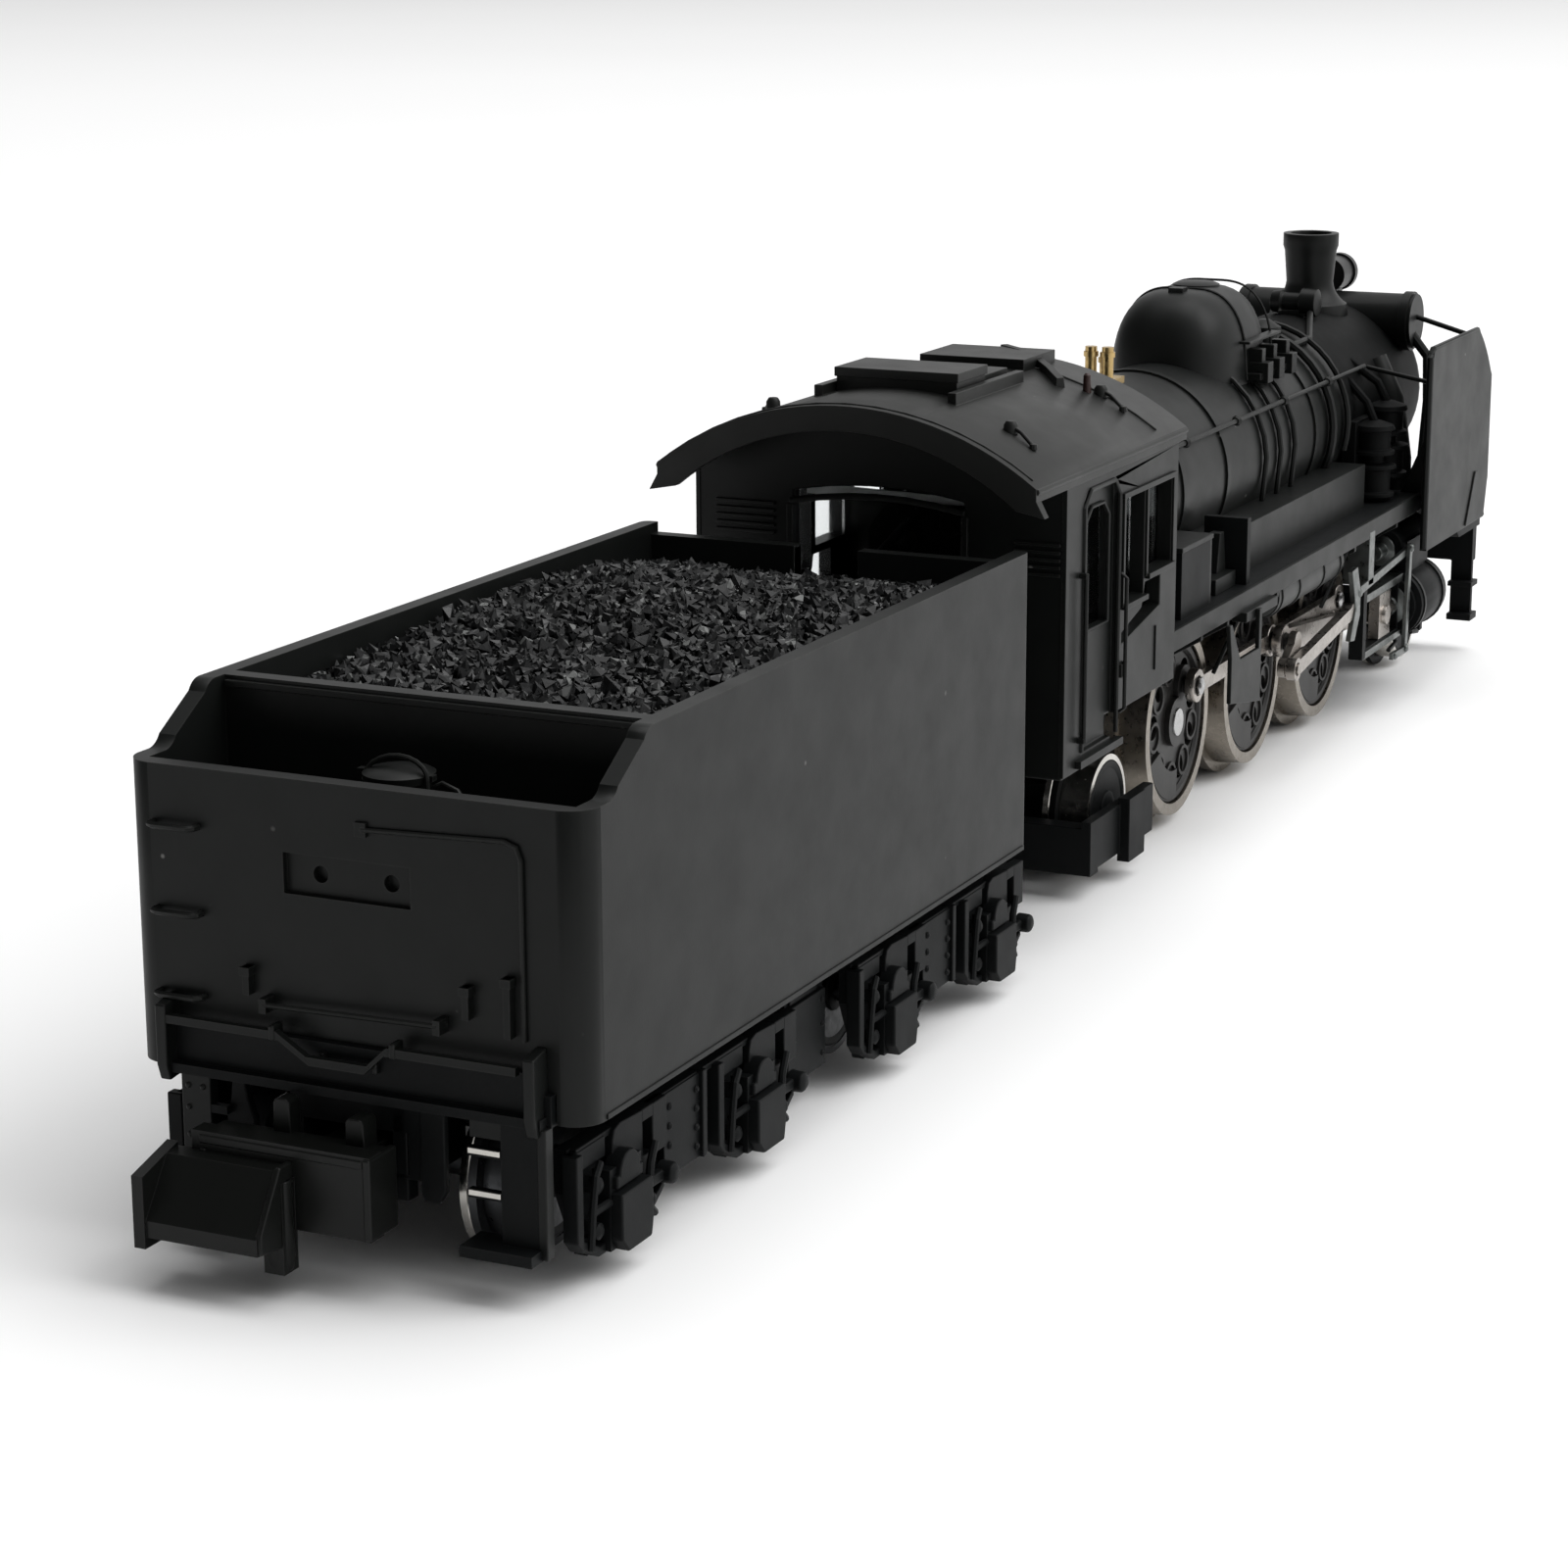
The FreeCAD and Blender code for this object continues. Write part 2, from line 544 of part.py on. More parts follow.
def make_coupler_spring():
    """Coil spring between the coupler pin and the end of the pocket."""
    turns = DOC.addObject("Part::Helix", "spring_turns")
    turns.Pitch = 0.26
    turns.Height = 0.52
    turns.Radius = 0.45
    turns.Placement = FreeCAD.Placement(VEC(), TURNS["x"])
    place(turns, "coupler_pivot_x + 0.96", "0", "coupler_z")
    wire = DOC.addObject("Part::Circle", "spring_wire")
    wire.Radius = 0.1
    wire.Placement = FreeCAD.Placement(VEC(), FreeCAD.Rotation(VEC(1, 0, 0), 90))
    place(wire, "coupler_pivot_x + 0.96", "0", "coupler_z - 0.45")
    spring = DOC.addObject("Part::Sweep", "coupler_spring")
    spring.Sections = [wire]
    spring.Spine = (turns, ["Edge1"])
    spring.Solid = True
    spring.Frenet = True
    node("coupler_spring", spring)


def make_drawbar():
    body = new_body("drawbar")
    loco_pin, tender_pin = "-6.0", "tender_front_x - 2.1"
    pad(body, "drawbar_strip", "z", [[
        (tender_pin, "-1.2"), (loco_pin, "-1.2", 1.1), (loco_pin, "1.2"), (tender_pin, "1.2", 1.1),
    ]], ("drawbar_z", "drawbar_z + 0.45"),
        [("0.6 + running_gap", (loco_pin, "0")), ("0.6 + running_gap", (tender_pin, "0"))])
    node("drawbar", body)


# ---------------------------------------------------------------- boiler and its fittings

def above_boiler(name, solid):
    """Trim the foot of a fitting to sit on the boiler."""
    barrel = cylinder(f"{name}_saddle", "x", "boiler_radius + 0.02",
                      ("boiler_rear_x - 5", "boiler_front_x + 5"),
                      ("0", "boiler_z"))
    return cut(name, solid, barrel)


def make_boiler_shell():
    """Hollow boiler and smokebox with raised bands, slotted below for the chassis."""
    outer, inner = "boiler_radius", "boiler_radius - boiler_skin"
    band = "boiler_radius + band_height"
    outline = [("boiler_rear_x", inner), ("boiler_rear_x", outer)]
    for band_x in ("7.4", "13.6", "20.4", "35.6", "smokebox_rear_x"):
        outline += [(band_x, outer), (band_x, band), (f"{band_x} + band_width", band),
                    (f"{band_x} + band_width", outer)]
    outline += [("boiler_front_x", outer), ("boiler_front_x", inner)]
    body = turned("boiler_shell", "XZ_Plane", "H_Axis", outline)
    pocket(body, "chassis_slot", "z",
           [rectangle(("boiler_rear_x - 1", "boiler_front_x - 1"), ("-3.4", "3.4"))],
           ("-boiler_radius - 1", "-2.0"))
    node("boiler_shell", place(body, z="boiler_z"))


def make_smokebox_door():
    face = "boiler_front_x"
    body = turned("smokebox_door", "XZ_Plane", "H_Axis", [
        (f"{face} - 0.6", "0"), (f"{face} - 0.6", "boiler_radius - boiler_skin - 0.02"),
        (face, "boiler_radius - boiler_skin - 0.02"), (face, "4.1"), (f"{face} + 0.35", "4.0"),
        (f"{face} + 0.85", "1.4"), (f"{face} + 0.95", "0"),
    ])
    for height in (-1.6, 1.6):
        pad(body, f"hinge_strap_{'low' if height < 0 else 'high'}", "z",
            [rectangle((face, f"{face} + 0.75"), ("0.6", "4.4"))], (f"{height} - 0.2", f"{height} + 0.2"))
    node("smokebox_door", place(body, z="boiler_z"))


def make_chimney():
    """Slightly flared pipe on a curved skirt, bored from the top."""
    top, base = "chimney_top_z", "boiler_z + boiler_radius - 1.0"
    lip = "chimney_radius"
    stack = turned("chimney_stack", "XZ_Plane", "V_Axis", [
        ("0", base), ("2.4", base), ("2.2", f"{base} + 1.3", -0.2), (f"{lip} - 0.25", f"{base} + 2.6"),
        (f"{lip} - 0.1", f"{top} - 1.0"), (lip, f"{top} - 0.7"), (lip, top), (f"{lip} - 0.4", top),
        (f"{lip} - 0.45", f"{top} - 3.2"), ("0", f"{top} - 3.2"),
    ])
    place(stack, x="chimney_x")
    node("chimney", above_boiler("chimney", stack))


def make_steam_dome():
    """Long casing over dome and sandbox: arched across, rounded in plan and in profile at the back."""
    half, low, top = "dome_half_width", "boiler_z + 3", "dome_top_z"
    rear, front = "dome_rear_x", "dome_front_x"
    shoulder = f"{top} - 2.8"
    section = new_body("dome_section")
    pad(section, "dome_arch", "x", [[
        (minus(half), low), (half, low), (half, shoulder, 0.65), ("1.5", f"{top} - 0.2", 0.2),
        ("-1.5", f"{top} - 0.2", 0.65), (minus(half), shoulder),
    ]], (f"{rear} - 1", front))
    plan = new_body("dome_plan")
    round_back = "2.7"
    pad(plan, "dome_round_back", "z", [[
        (f"{rear} + {round_back} - 0.2", minus(f"{half} + 0.1")),
        (f"{front} + 1", minus(f"{half} + 0.1")),
        (f"{front} + 1", f"{half} + 0.1"),
        (f"{rear} + {round_back} - 0.2", f"{half} + 0.1", round_back),
    ]], (f"{low} - 1", f"{top} + 1"))
    profile = new_body("dome_profile")
    pad(profile, "dome_slope", "y", [[
        (rear, f"{low} - 1"), (front, f"{low} - 1"), (front, f"{top} - 0.8", 0.234),
        (f"{front} - 0.8", f"{top} + 0.05"),
        (f"{rear} + 2.6", f"{top} + 0.05", 0.762), (rear, f"{top} - 2.6"),
    ]], (minus(f"{half} + 1"), f"{half} + 1"))
    arch = above_boiler("dome_saddled", section)
    node("steam_dome", common("steam_dome", common("dome_outline", arch, profile), plan))


def make_safety_valves():
    """Two brass valves and the whistle between them on one base."""
    top = "boiler_z + boiler_radius"
    pieces = [box("valve_base", ("14.8", "16.8"), ("-0.85", "0.85"), (f"{top} - 0.6", f"{top} + 0.3"))]
    for name, x, y, height in (("right", 15.4, -0.45, 1.9), ("left", 15.4, 0.45, 1.9),
                               ("whistle", 16.3, 0, 1.5)):
        pieces.append(cylinder(f"valve_{name}", "z", "0.3", (f"{top} + 0.3", f"{top} + {height}"),
                               (str(x), str(y))))
        pieces.append(cylinder(f"valve_cap_{name}", "z", "0.38",
                               (f"{top} + {height} - 0.5", f"{top} + {height} - 0.25"),
                               (str(x), str(y))))
    node("safety_valves", above_boiler("safety_valves", fuse("valve_group", *pieces)))


def make_feedwater_heater():
    """Cross-wise drum ahead of the chimney, with rimmed ends, sitting in a saddle."""
    half = "drum_half_length"
    centre = ("drum_x", "drum_z")
    drum = fuse(
        "drum_blank",
        cylinder("drum_barrel", "y", "drum_radius", (minus(half), half), centre),
        cylinder("drum_rim_right", "y", "drum_radius + 0.15", (f"0.2 - {half}", f"0.7 - {half}"), centre),
        cylinder("drum_rim_left", "y", "drum_radius + 0.15", (f"{half} - 0.7", f"{half} - 0.2"), centre),
        box("drum_saddle", ("drum_x - 1.3", "drum_x + 1.3"), ("-3.2", "3.2"), ("drum_z - 2.6", "drum_z")),
    )
    node("feedwater_heater", above_boiler("feedwater_heater", drum))


def make_headlight():
    stand_z = "drum_z + drum_radius"
    lamp_z = f"{stand_z} + 0.95"
    lamp = fuse(
        "lamp_blank",
        cylinder("lamp_barrel", "x", "1.0", ("drum_x - 0.4", "drum_x + 1.9"), ("0", lamp_z)),
        cylinder("lamp_rim", "x", "1.12", ("drum_x + 1.5", "drum_x + 2.0"), ("0", lamp_z)),
        box("lamp_stand", ("drum_x - 0.3", "drum_x + 0.9"), ("-0.5", "0.5"), (f"{stand_z} - 0.3", lamp_z)),
    )
    hollow = cylinder("lamp_hollow", "x", "0.85", ("drum_x + 0.6", "drum_x + 2.5"), ("0", lamp_z))
    drum = cylinder("lamp_seat", "y", "drum_radius + 0.01", ("-2", "2"), ("drum_x", "drum_z"))
    node("headlight", cut("headlight", lamp, hollow, drum))


def make_running_boards():
    """Footplates beside the boiler, the sloping front and the front deck, with the side boxes on them."""
    body = new_body("running_boards")
    low, high = "board_z", "board_z + board_thickness"
    deck_low = "front_deck_z - board_thickness"
    slope_x = "board_front_x + 4.4"
    profile = [
        ("cab_front_x + 0.05", low), ("board_front_x", low), (slope_x, deck_low), ("front_deck_x", deck_low),
        ("front_deck_x", "front_deck_z"), (f"{slope_x} + 0.2", "front_deck_z"),
        ("board_front_x + 0.2", high),
        ("cab_front_x + 0.05", high),
    ]
    wide, inner = "board_half_width", "board_inner"
    pad(body, "board_right", "y", [profile], (minus(wide), minus(inner)))
    pad(body, "front_deck", "z", [rectangle((slope_x, "front_deck_x"), (f"0.1 - {wide}", f"{wide} - 0.1"))],
        (deck_low, "front_deck_z"))
    pad(body, "board_left", "y", [profile], (inner, wide))
    for side, sign in (("right", -1), ("left", 1)):
        for name, x, y, top in (("long_box", ("12.2", "36.0"), (5.0, 6.5), "2.1"),
                                ("corner_box", ("6.2", "10.4"), (5.6, 7.8), "3.4")):
            span = tuple(str(value) for value in sorted(sign * value for value in y))
            pad(body, f"{name}_{side}", "z", [rectangle(x, span)], (f"{high} - 0.1", f"{high} + {top}"))
        outer = sorted((sign * 5.6, sign * 7.9))
        pad(body, f"air_tank_{side}", "x", [], ("21.0", "32.5"),
            [("1.15", (str(sign * 6.9), "board_z - 1.0"))])
        pad(body, f"step_plate_{side}", "x", [rectangle([str(value) for value in outer],
                                                        (f"{high} - 0.1", f"{high} + 3.4"))],
            ("15.9", "16.4"))
    node("running_boards", body)


def make_smoke_deflectors():
    body = new_body("smoke_deflectors")
    outline = [
        ("deflector_rear_x", "deflector_base_z"), ("deflector_front_x - 0.6", "deflector_base_z"),
        ("deflector_front_x", "deflector_base_z + 2.2"), ("deflector_front_x", "deflector_front_z", 0.25),
        ("deflector_front_x - 3.2", "deflector_top_z"), ("deflector_rear_x + 0.5", "deflector_top_z", 0.15),
        ("deflector_rear_x", "deflector_top_z - 0.5"),
    ]
    outer = "deflector_y + deflector_thickness / 2"
    inner = "deflector_y - deflector_thickness / 2"
    pad(body, "deflector_plate", "y", [outline], (f"-({outer})", f"-({inner})"))
    for name, x in (("rear", "46.2"), ("middle", "50.0"), ("front", "54.0")):
        drop = "board_z + 0.15" if name != "front" else "9.6"
        pad(body, f"deflector_foot_{name}", "x",
            [rectangle((f"-({inner}) - 0.05", "-board_half_width - 0.02"), (drop, f"{drop} + 1.2"))],
            (x, f"{x} + 0.5"))
    node("smoke_deflectors", both_sides("smoke_deflectors", body))


# ---------------------------------------------------------------- cab

def make_cab_shell():
    """Cab walls and floor in one moulding, open at the back above the tender."""
    body = new_body("cab_shell")
    half, rear, front = "cab_half_width", "cab_rear_x", "cab_front_x"
    wall, top = "cab_wall", "eave_z - 0.62"
    floor_low, floor_high = "cab_skirt_z", "cab_skirt_z + 0.6"
    pad(body, "cab_block", "x", [[
        (minus(half), "cab_floor_z"), (half, "cab_floor_z"), (half, top, "roof_crown - 0.15"),
        (minus(half), top),
    ]], (rear, front))
    inside_y = (f"{wall} - {half}", f"{half} - {wall}")
    pocket(body, "cab_inside", "x", [rectangle(inside_y, (floor_high, "eave_z + 5"))],
           (f"{rear} + {wall}", f"{front} - {wall}"))
    pocket(body, "cab_below", "z", [rectangle((f"{rear} + {wall}", f"{front} + 1"), inside_y)],
           ("cab_floor_z - 1", floor_low))
    pocket(body, "skirt_step", "z",
           [rectangle((f"{rear} + 6.2", f"{front} + 1"), (f"-{half} - 1", f"{half} + 1"))],
           ("cab_floor_z - 1", floor_low))
    pocket(body, "rear_opening", "x", [[
        ("-4.1", "cab_floor_z - 1"), ("4.1", "cab_floor_z - 1"), ("4.1", "20.2", 0.4), ("-4.1", "20.2"),
    ]], (f"{rear} - 1", f"{rear} + {wall} + 0.1"))
    pocket(body, "boiler_hole", "x", [], (f"{front} - {wall} - 0.1", f"{front} + 1"),
           [("boiler_radius + 0.02", ("0", "boiler_z"))])
    pocket(body, "firebox_gap", "x", [rectangle(("-3.4", "3.4"), ("cab_floor_z - 1", "boiler_z - 3"))],
           (f"{front} - {wall} - 0.1", f"{front} + 1"))
    window_z = ("17.6", "20.4")
    pocket(body, "front_windows", "x", [rectangle(("-7.7", "-6.1"), window_z),
                                        rectangle(("6.1", "7.7"), window_z)],
           (f"{front} - {wall} - 0.1", f"{front} + 1"))
    openings = [
        [("-9.1", "14.2"), ("-6.2", "14.2"), ("-6.2", "19.1", 0.2), ("-6.9", "19.7"), ("-8.4", "19.7", 0.2),
         ("-9.1", "19.1")],
        rectangle(("-4.7", "-2.1"), ("14.7", "19.5")),
        rectangle(("-1.6", "1.6"), ("15.6", "19.5")),
        [("-4.9", "12.9"), ("0.2", "13.8"), ("0.2", "15.2"), ("-1.8", "15.2"), ("-2.2", "14.1"),
         ("-4.9", "13.4")],
    ]
    door = [("-9.9", "8.9"), ("-5.5", "8.9"), ("-5.5", "19.9", 0.2), ("-6.2", "20.6"), ("-9.2", "20.6", 0.2),
            ("-9.9", "19.9")]
    pocket(body, "side_openings", "y", openings, (f"-{half} - 1", f"{half} + 1"))
    pocket(body, "door_recess_right", "y", [door], (f"-{half} - 1", f"0.3 - {half}"))
    pocket(body, "door_recess_left", "y", [door], (f"{half} - 0.3", f"{half} + 1"))
    node("cab_shell", body)


def make_cab_roof():
    """Arched roof reaching back over the tender, end plates, and the ventilator on its crown."""
    body = new_body("cab_roof")
    half, eave = "roof_half_width", "eave_z"
    thickness = "roof_thickness"
    arch = [(half, eave, "roof_crown"), (minus(half), eave),
            (minus(half), f"{eave} - 0.6", f"0.1 - roof_crown"),
            (half, f"{eave} - 0.6")]
    pad(body, "roof_sheet", "x", [arch], ("roof_rear_x", "roof_front_x"))
    tip, drop = f"{half} + 0.4", "1.25"
    end_plate = [
        (f"{half} - 0.3", eave, "roof_crown - 0.1"), (f"0.3 - {half}", eave),
        (minus(tip), f"{eave} - {drop}"),
        (f"0.9 - {half}", f"{eave} - {drop} + 0.25", "0.1 - roof_crown"),
        (f"{half} - 0.9", f"{eave} - {drop} + 0.25"),
        (tip, f"{eave} - {drop}"),
    ]
    pad(body, "roof_end_plate", "x", [end_plate], ("roof_rear_x", "roof_rear_x + 0.5"))
    crown = f"{eave} + roof_crown"
    pad(body, "ventilator", "z", [rectangle(("-10.3", "-7.0"), ("-2.9", "2.9"))],
        (f"{crown} - 0.6", f"{crown} + 0.75"))
    pad(body, "ventilator_rails", "z", [rectangle(("-11.6", "-3.6"), ("-3.4", "-3.0")),
                                        rectangle(("-11.6", "-3.6"), ("3.0", "3.4"))],
        (f"{crown} - 0.6", f"{crown} + 0.15"))
    pad(body, "roof_hatch", "z", [rectangle(("-1.6", "2.4"), ("-2.6", "2.6"))],
        (f"{crown} - 0.6", f"{crown} + 0.35"))
    node("cab_roof", body)


def make_cab_inside():
    body = new_body("backhead")
    pad(body, "backhead_block", "x", [[
        ("-4.3", "cab_skirt_z + 0.6"), ("4.3", "cab_skirt_z + 0.6"), ("4.3", "boiler_z + 0.6", 2.6),
        ("-4.3", "boiler_z + 0.6"),
    ]], ("-3.6", "cab_front_x - cab_wall - 0.05"))
    pad(body, "fire_door", "x", [], ("-3.95", "-3.5"), [("1.1", ("0", "13.4"))])
    node("backhead", body)
    panes = []
    pane_y = "cab_half_width - cab_wall"
    panes.append(box("side_pane", ("-5.1", "1.45"), (f"-({pane_y})", f"0.3 - ({pane_y})"), ("12.4", "19.9")))
    panes.append(box("door_pane", ("-9.4", "-5.9"), (f"-({pane_y})", f"0.3 - ({pane_y})"), ("13.9", "20.0")))
    panes.append(box("front_pane", ("cab_front_x - cab_wall - 0.3", "cab_front_x - cab_wall"),
                     ("-7.9", "-5.9"),
                     ("17.4", "20.6")))
    right = group("panes_right", *panes)
    node("cab_glazing", both_sides("cab_glazing", right))


# ---------------------------------------------------------------- chassis and drive

DRIVERS = {"rear": "middle_driver_x - driver_spacing", "middle": "middle_driver_x",
           "front": "middle_driver_x + driver_spacing"}


def make_chassis_block():
    """Die-cast frame and ballast weight in one casting, bored for motor, flywheel, worm and gears."""
    half = "frame_half_width"
    solid = fuse(
        "chassis_blank",
        box("main_frame", ("6.4", "44.0"), (minus(half), half), ("frame_base_z", "12.5")),
        box("rear_tail", ("-9.0", "6.6"), ("-3.0", "3.0"), ("7.2", "9.6")),
        box("tail_step", ("2.9", "8.0"), (minus(half), half), ("7.2", "12.5")),
        box("front_tail", ("43.0", "54.0"), (minus(half), half), ("10.8", "12.5")),
        cylinder("weight", "x", "weight_radius", ("2.9", "boiler_front_x - 0.8"), ("0", "boiler_z")),
        cylinder("drawbar_stud", "z", "0.6", ("drawbar_z - 0.3", "7.4"), ("-6.0", "0")),
        cylinder("trailing_stud", "z", "0.6", ("2.0", "frame_base_z + 0.1"), ("trailing_pivot_x", "0")),
        cylinder("pony_stud", "z", "0.6", ("2.0", "frame_base_z + 0.1"), ("pony_pivot_x", "0")),
    )
    gear_y = ("-gear_width / 2 - 0.25", "gear_width / 2 + 0.25")
    shaft = ("0", "motor_z")
    centre = "middle_driver_x"
    tools = [
        cylinder("motor_bay", "x", "motor_radius + 0.02", ("2", "motor_front_x + 0.1"), shaft),
        cylinder("nose_bay", "x", "1.42", ("motor_front_x", "motor_front_x + 1"), shaft),
        cylinder("flywheel_bay", "x", "flywheel_radius + 0.3",
                 ("flywheel_rear_x - 0.4", "flywheel_front_x + 0.4"), shaft),
        cylinder("worm_bay", "x", "1.9", ("worm_rear_x - 0.4", "worm_front_x + 0.6"), shaft),
        cylinder("shaft_bore", "x", "0.66", ("motor_front_x", "worm_front_x + 1.6"), shaft),
        box("idler_bay", (f"{centre} - 3.6", f"{centre} + 3.6"), gear_y, ("7.0", "motor_z")),
        box("gear_bay", (f"{centre} - 3.0", f"{centre} + 3.0"), gear_y, ("frame_base_z - 1", "8.2")),
        cylinder("idler_bore", "y", "0.5 + running_gap", ("-3.3", "3.3"), (centre, "idler_z")),
        box("board_seat", ("29", "51"), ("-3.2", "3.2"), ("boiler_z + 3.4", "boiler_z + 6")),
    ]
    for name, x in DRIVERS.items():
        reach = "axle_radius + running_gap"
        tools.append(cylinder(f"{name}_axle_bore", "y", reach, ("-4", "4"), (x, "driver_z")))
        tools.append(box(f"{name}_axle_slot", (f"{x} - ({reach})", f"{x} + ({reach})"), ("-4", "4"),
                         ("frame_base_z - 1", "driver_z")))
    node("chassis_block", cut("chassis_block", solid, *tools))


def make_keeper_plate():
    """Plate under the frame that keeps the axles in, with upright pads below each axle."""
    half = "frame_half_width"
    pieces = [box("keeper_base", ("10.2", "39.8"), (minus(half), half), ("keeper_base_z", "frame_base_z"))]
    for name, x in DRIVERS.items():
        pad_x = (f"{x} - axle_radius", f"{x} + axle_radius")
        pieces.append(box(f"keeper_pad_{name}", pad_x, (f"0.1 - {half}", f"{half} - 0.1"),
                          ("frame_base_z", "driver_z - axle_radius - running_gap")))
    opening = box("keeper_opening", ("middle_driver_x - 3.0", "middle_driver_x + 3.0"),
                  ("-gear_width / 2 - 0.25", "gear_width / 2 + 0.25"), ("keeper_base_z - 1", "driver_z"))
    screws = [cylinder(f"keeper_hole_{x}", "z", "0.7", ("keeper_base_z - 1", "keeper_base_z + 0.4"),
                       (str(x), "0"))
              for x in (18.2, 30.2)]
    node("keeper_plate", cut("keeper_plate", fuse("keeper_blank", *pieces), opening, *screws))


def make_motor():
    shaft = ("0", "motor_z")
    rear, front = "motor_rear_x", "motor_front_x"
    can = cut(
        "motor_case",
        fuse("motor_blank",
             cylinder("motor_can", "x", "motor_radius", (rear, front), shaft),
             cylinder("motor_nose", "x", "1.4", (front, f"{front} + 0.9"), shaft)),
        cylinder("motor_inside", "x", "motor_radius - 0.4", (f"{rear} + 0.5", f"{front} - 0.5"), shaft),
        cylinder("motor_bearing", "x", "shaft_radius + running_gap", (f"{rear} - 1", f"{front} + 2"), shaft),
    )
    node("motor_case", can)
    node("motor_armature", fuse(
        "motor_armature",
        cylinder("motor_shaft", "x", "shaft_radius", (rear, "worm_front_x + 1.4"), shaft),
        cylinder("winding", "x", "motor_radius - 0.8", (f"{rear} + 1.2", f"{front} - 1.6"), shaft),
        cylinder("commutator", "x", "1.2", (f"{front} - 1.7", f"{front} - 0.9"), shaft)))
    node("flywheel", cut("flywheel",
                         cylinder("flywheel_rim", "x", "flywheel_radius",
                                  ("flywheel_rear_x", "flywheel_front_x"), shaft),
                         cylinder("flywheel_bore", "x", "shaft_radius",
                                  ("flywheel_rear_x - 1", "flywheel_front_x + 1"), shaft)))


def make_worm():
    """Single-start worm pressed on the motor shaft; one thread sits in the gap above the idler."""
    body = new_body("worm")
    pad(body, "worm_core", "x", [], ("0", "worm_front_x - worm_rear_x"),
        [("worm_pitch_radius - 0.35", ("0", "0"))])
    DOC.recompute()
    sketch = sketch_on(body, "thread_section", "XZ_Plane")
    start, root, tip = "0.4", "worm_pitch_radius - 0.5", "worm_pitch_radius + 0.24"
    draw_outline(sketch, [(f"{start} - 0.2", root), (f"{start} + 0.2", root), (f"{start} + 0.07", tip),
                          (f"{start} - 0.07", tip)])
    thread = body.newObject("PartDesign::AdditiveHelix", "thread")
    thread.Profile = sketch
    thread.ReferenceAxis = (sketch, ["H_Axis"])
    thread.Mode = "pitch-height-angle"
    thread.setExpression("Pitch", bound("pi * gear_module"))
    thread.setExpression("Height", bound("7 * pi * gear_module"))
    thread.Angle = 0
    DOC.recompute()
    pocket(body, "worm_bore", "x", [], ("-1", "worm_front_x - worm_rear_x + 1"),
           [("shaft_radius", ("0", "0"))])
    node("worm", place(body, "middle_driver_x - 3.5 * pi * gear_module - 0.4", "0", "motor_z"))


def make_gear(name, teeth, bore, x, z, phase):
    """Spur gear on a cross-wise axle; phase turns its first tooth from straight up."""
    body = new_body(name)
    pitch_radius = f"gear_module * {teeth} / 2"
    width = ("-gear_width / 2", "gear_width / 2")
    pad(body, f"{name}_blank", "y", [], width, [(f"{pitch_radius} - 0.36", ("0", "0"))])
    DOC.recompute()
    root, tip = f"{pitch_radius} - 0.5", f"{pitch_radius} + 0.26"
    pad(body, f"{name}_tooth", "y", [[("-0.24", root), ("0.24", root), ("0.08", tip), ("-0.08", tip)]],
        width)
    DOC.recompute()
    teeth_around = body.newObject("PartDesign::PolarPattern", f"{name}_teeth")
    teeth_around.Originals = [body.getObject(f"{name}_tooth")]
    teeth_around.Axis = (origin_plane(body, "Y_Axis"), [""])
    teeth_around.Angle = 360
    teeth_around.setExpression("Occurrences", bound(teeth))
    body.Tip = teeth_around
    DOC.recompute()
    if bore:
        pocket(body, f"{name}_bore", "y", [], ("-gear_width", "gear_width"), [(bore, ("0", "0"))])
    else:
        pad(body, f"{name}_axle", "y", [], ("-3.1", "3.1"), [("0.5", ("0", "0"))])
    body.Placement = FreeCAD.Placement(VEC(), FreeCAD.Rotation(VEC(0, 1, 0), phase))
    node(name, place(body, x, "0", z))


def crank_offset(side):
    return (f"crank_throw * cos(crank_angle_{side})", f"crank_throw * sin(crank_angle_{side})")


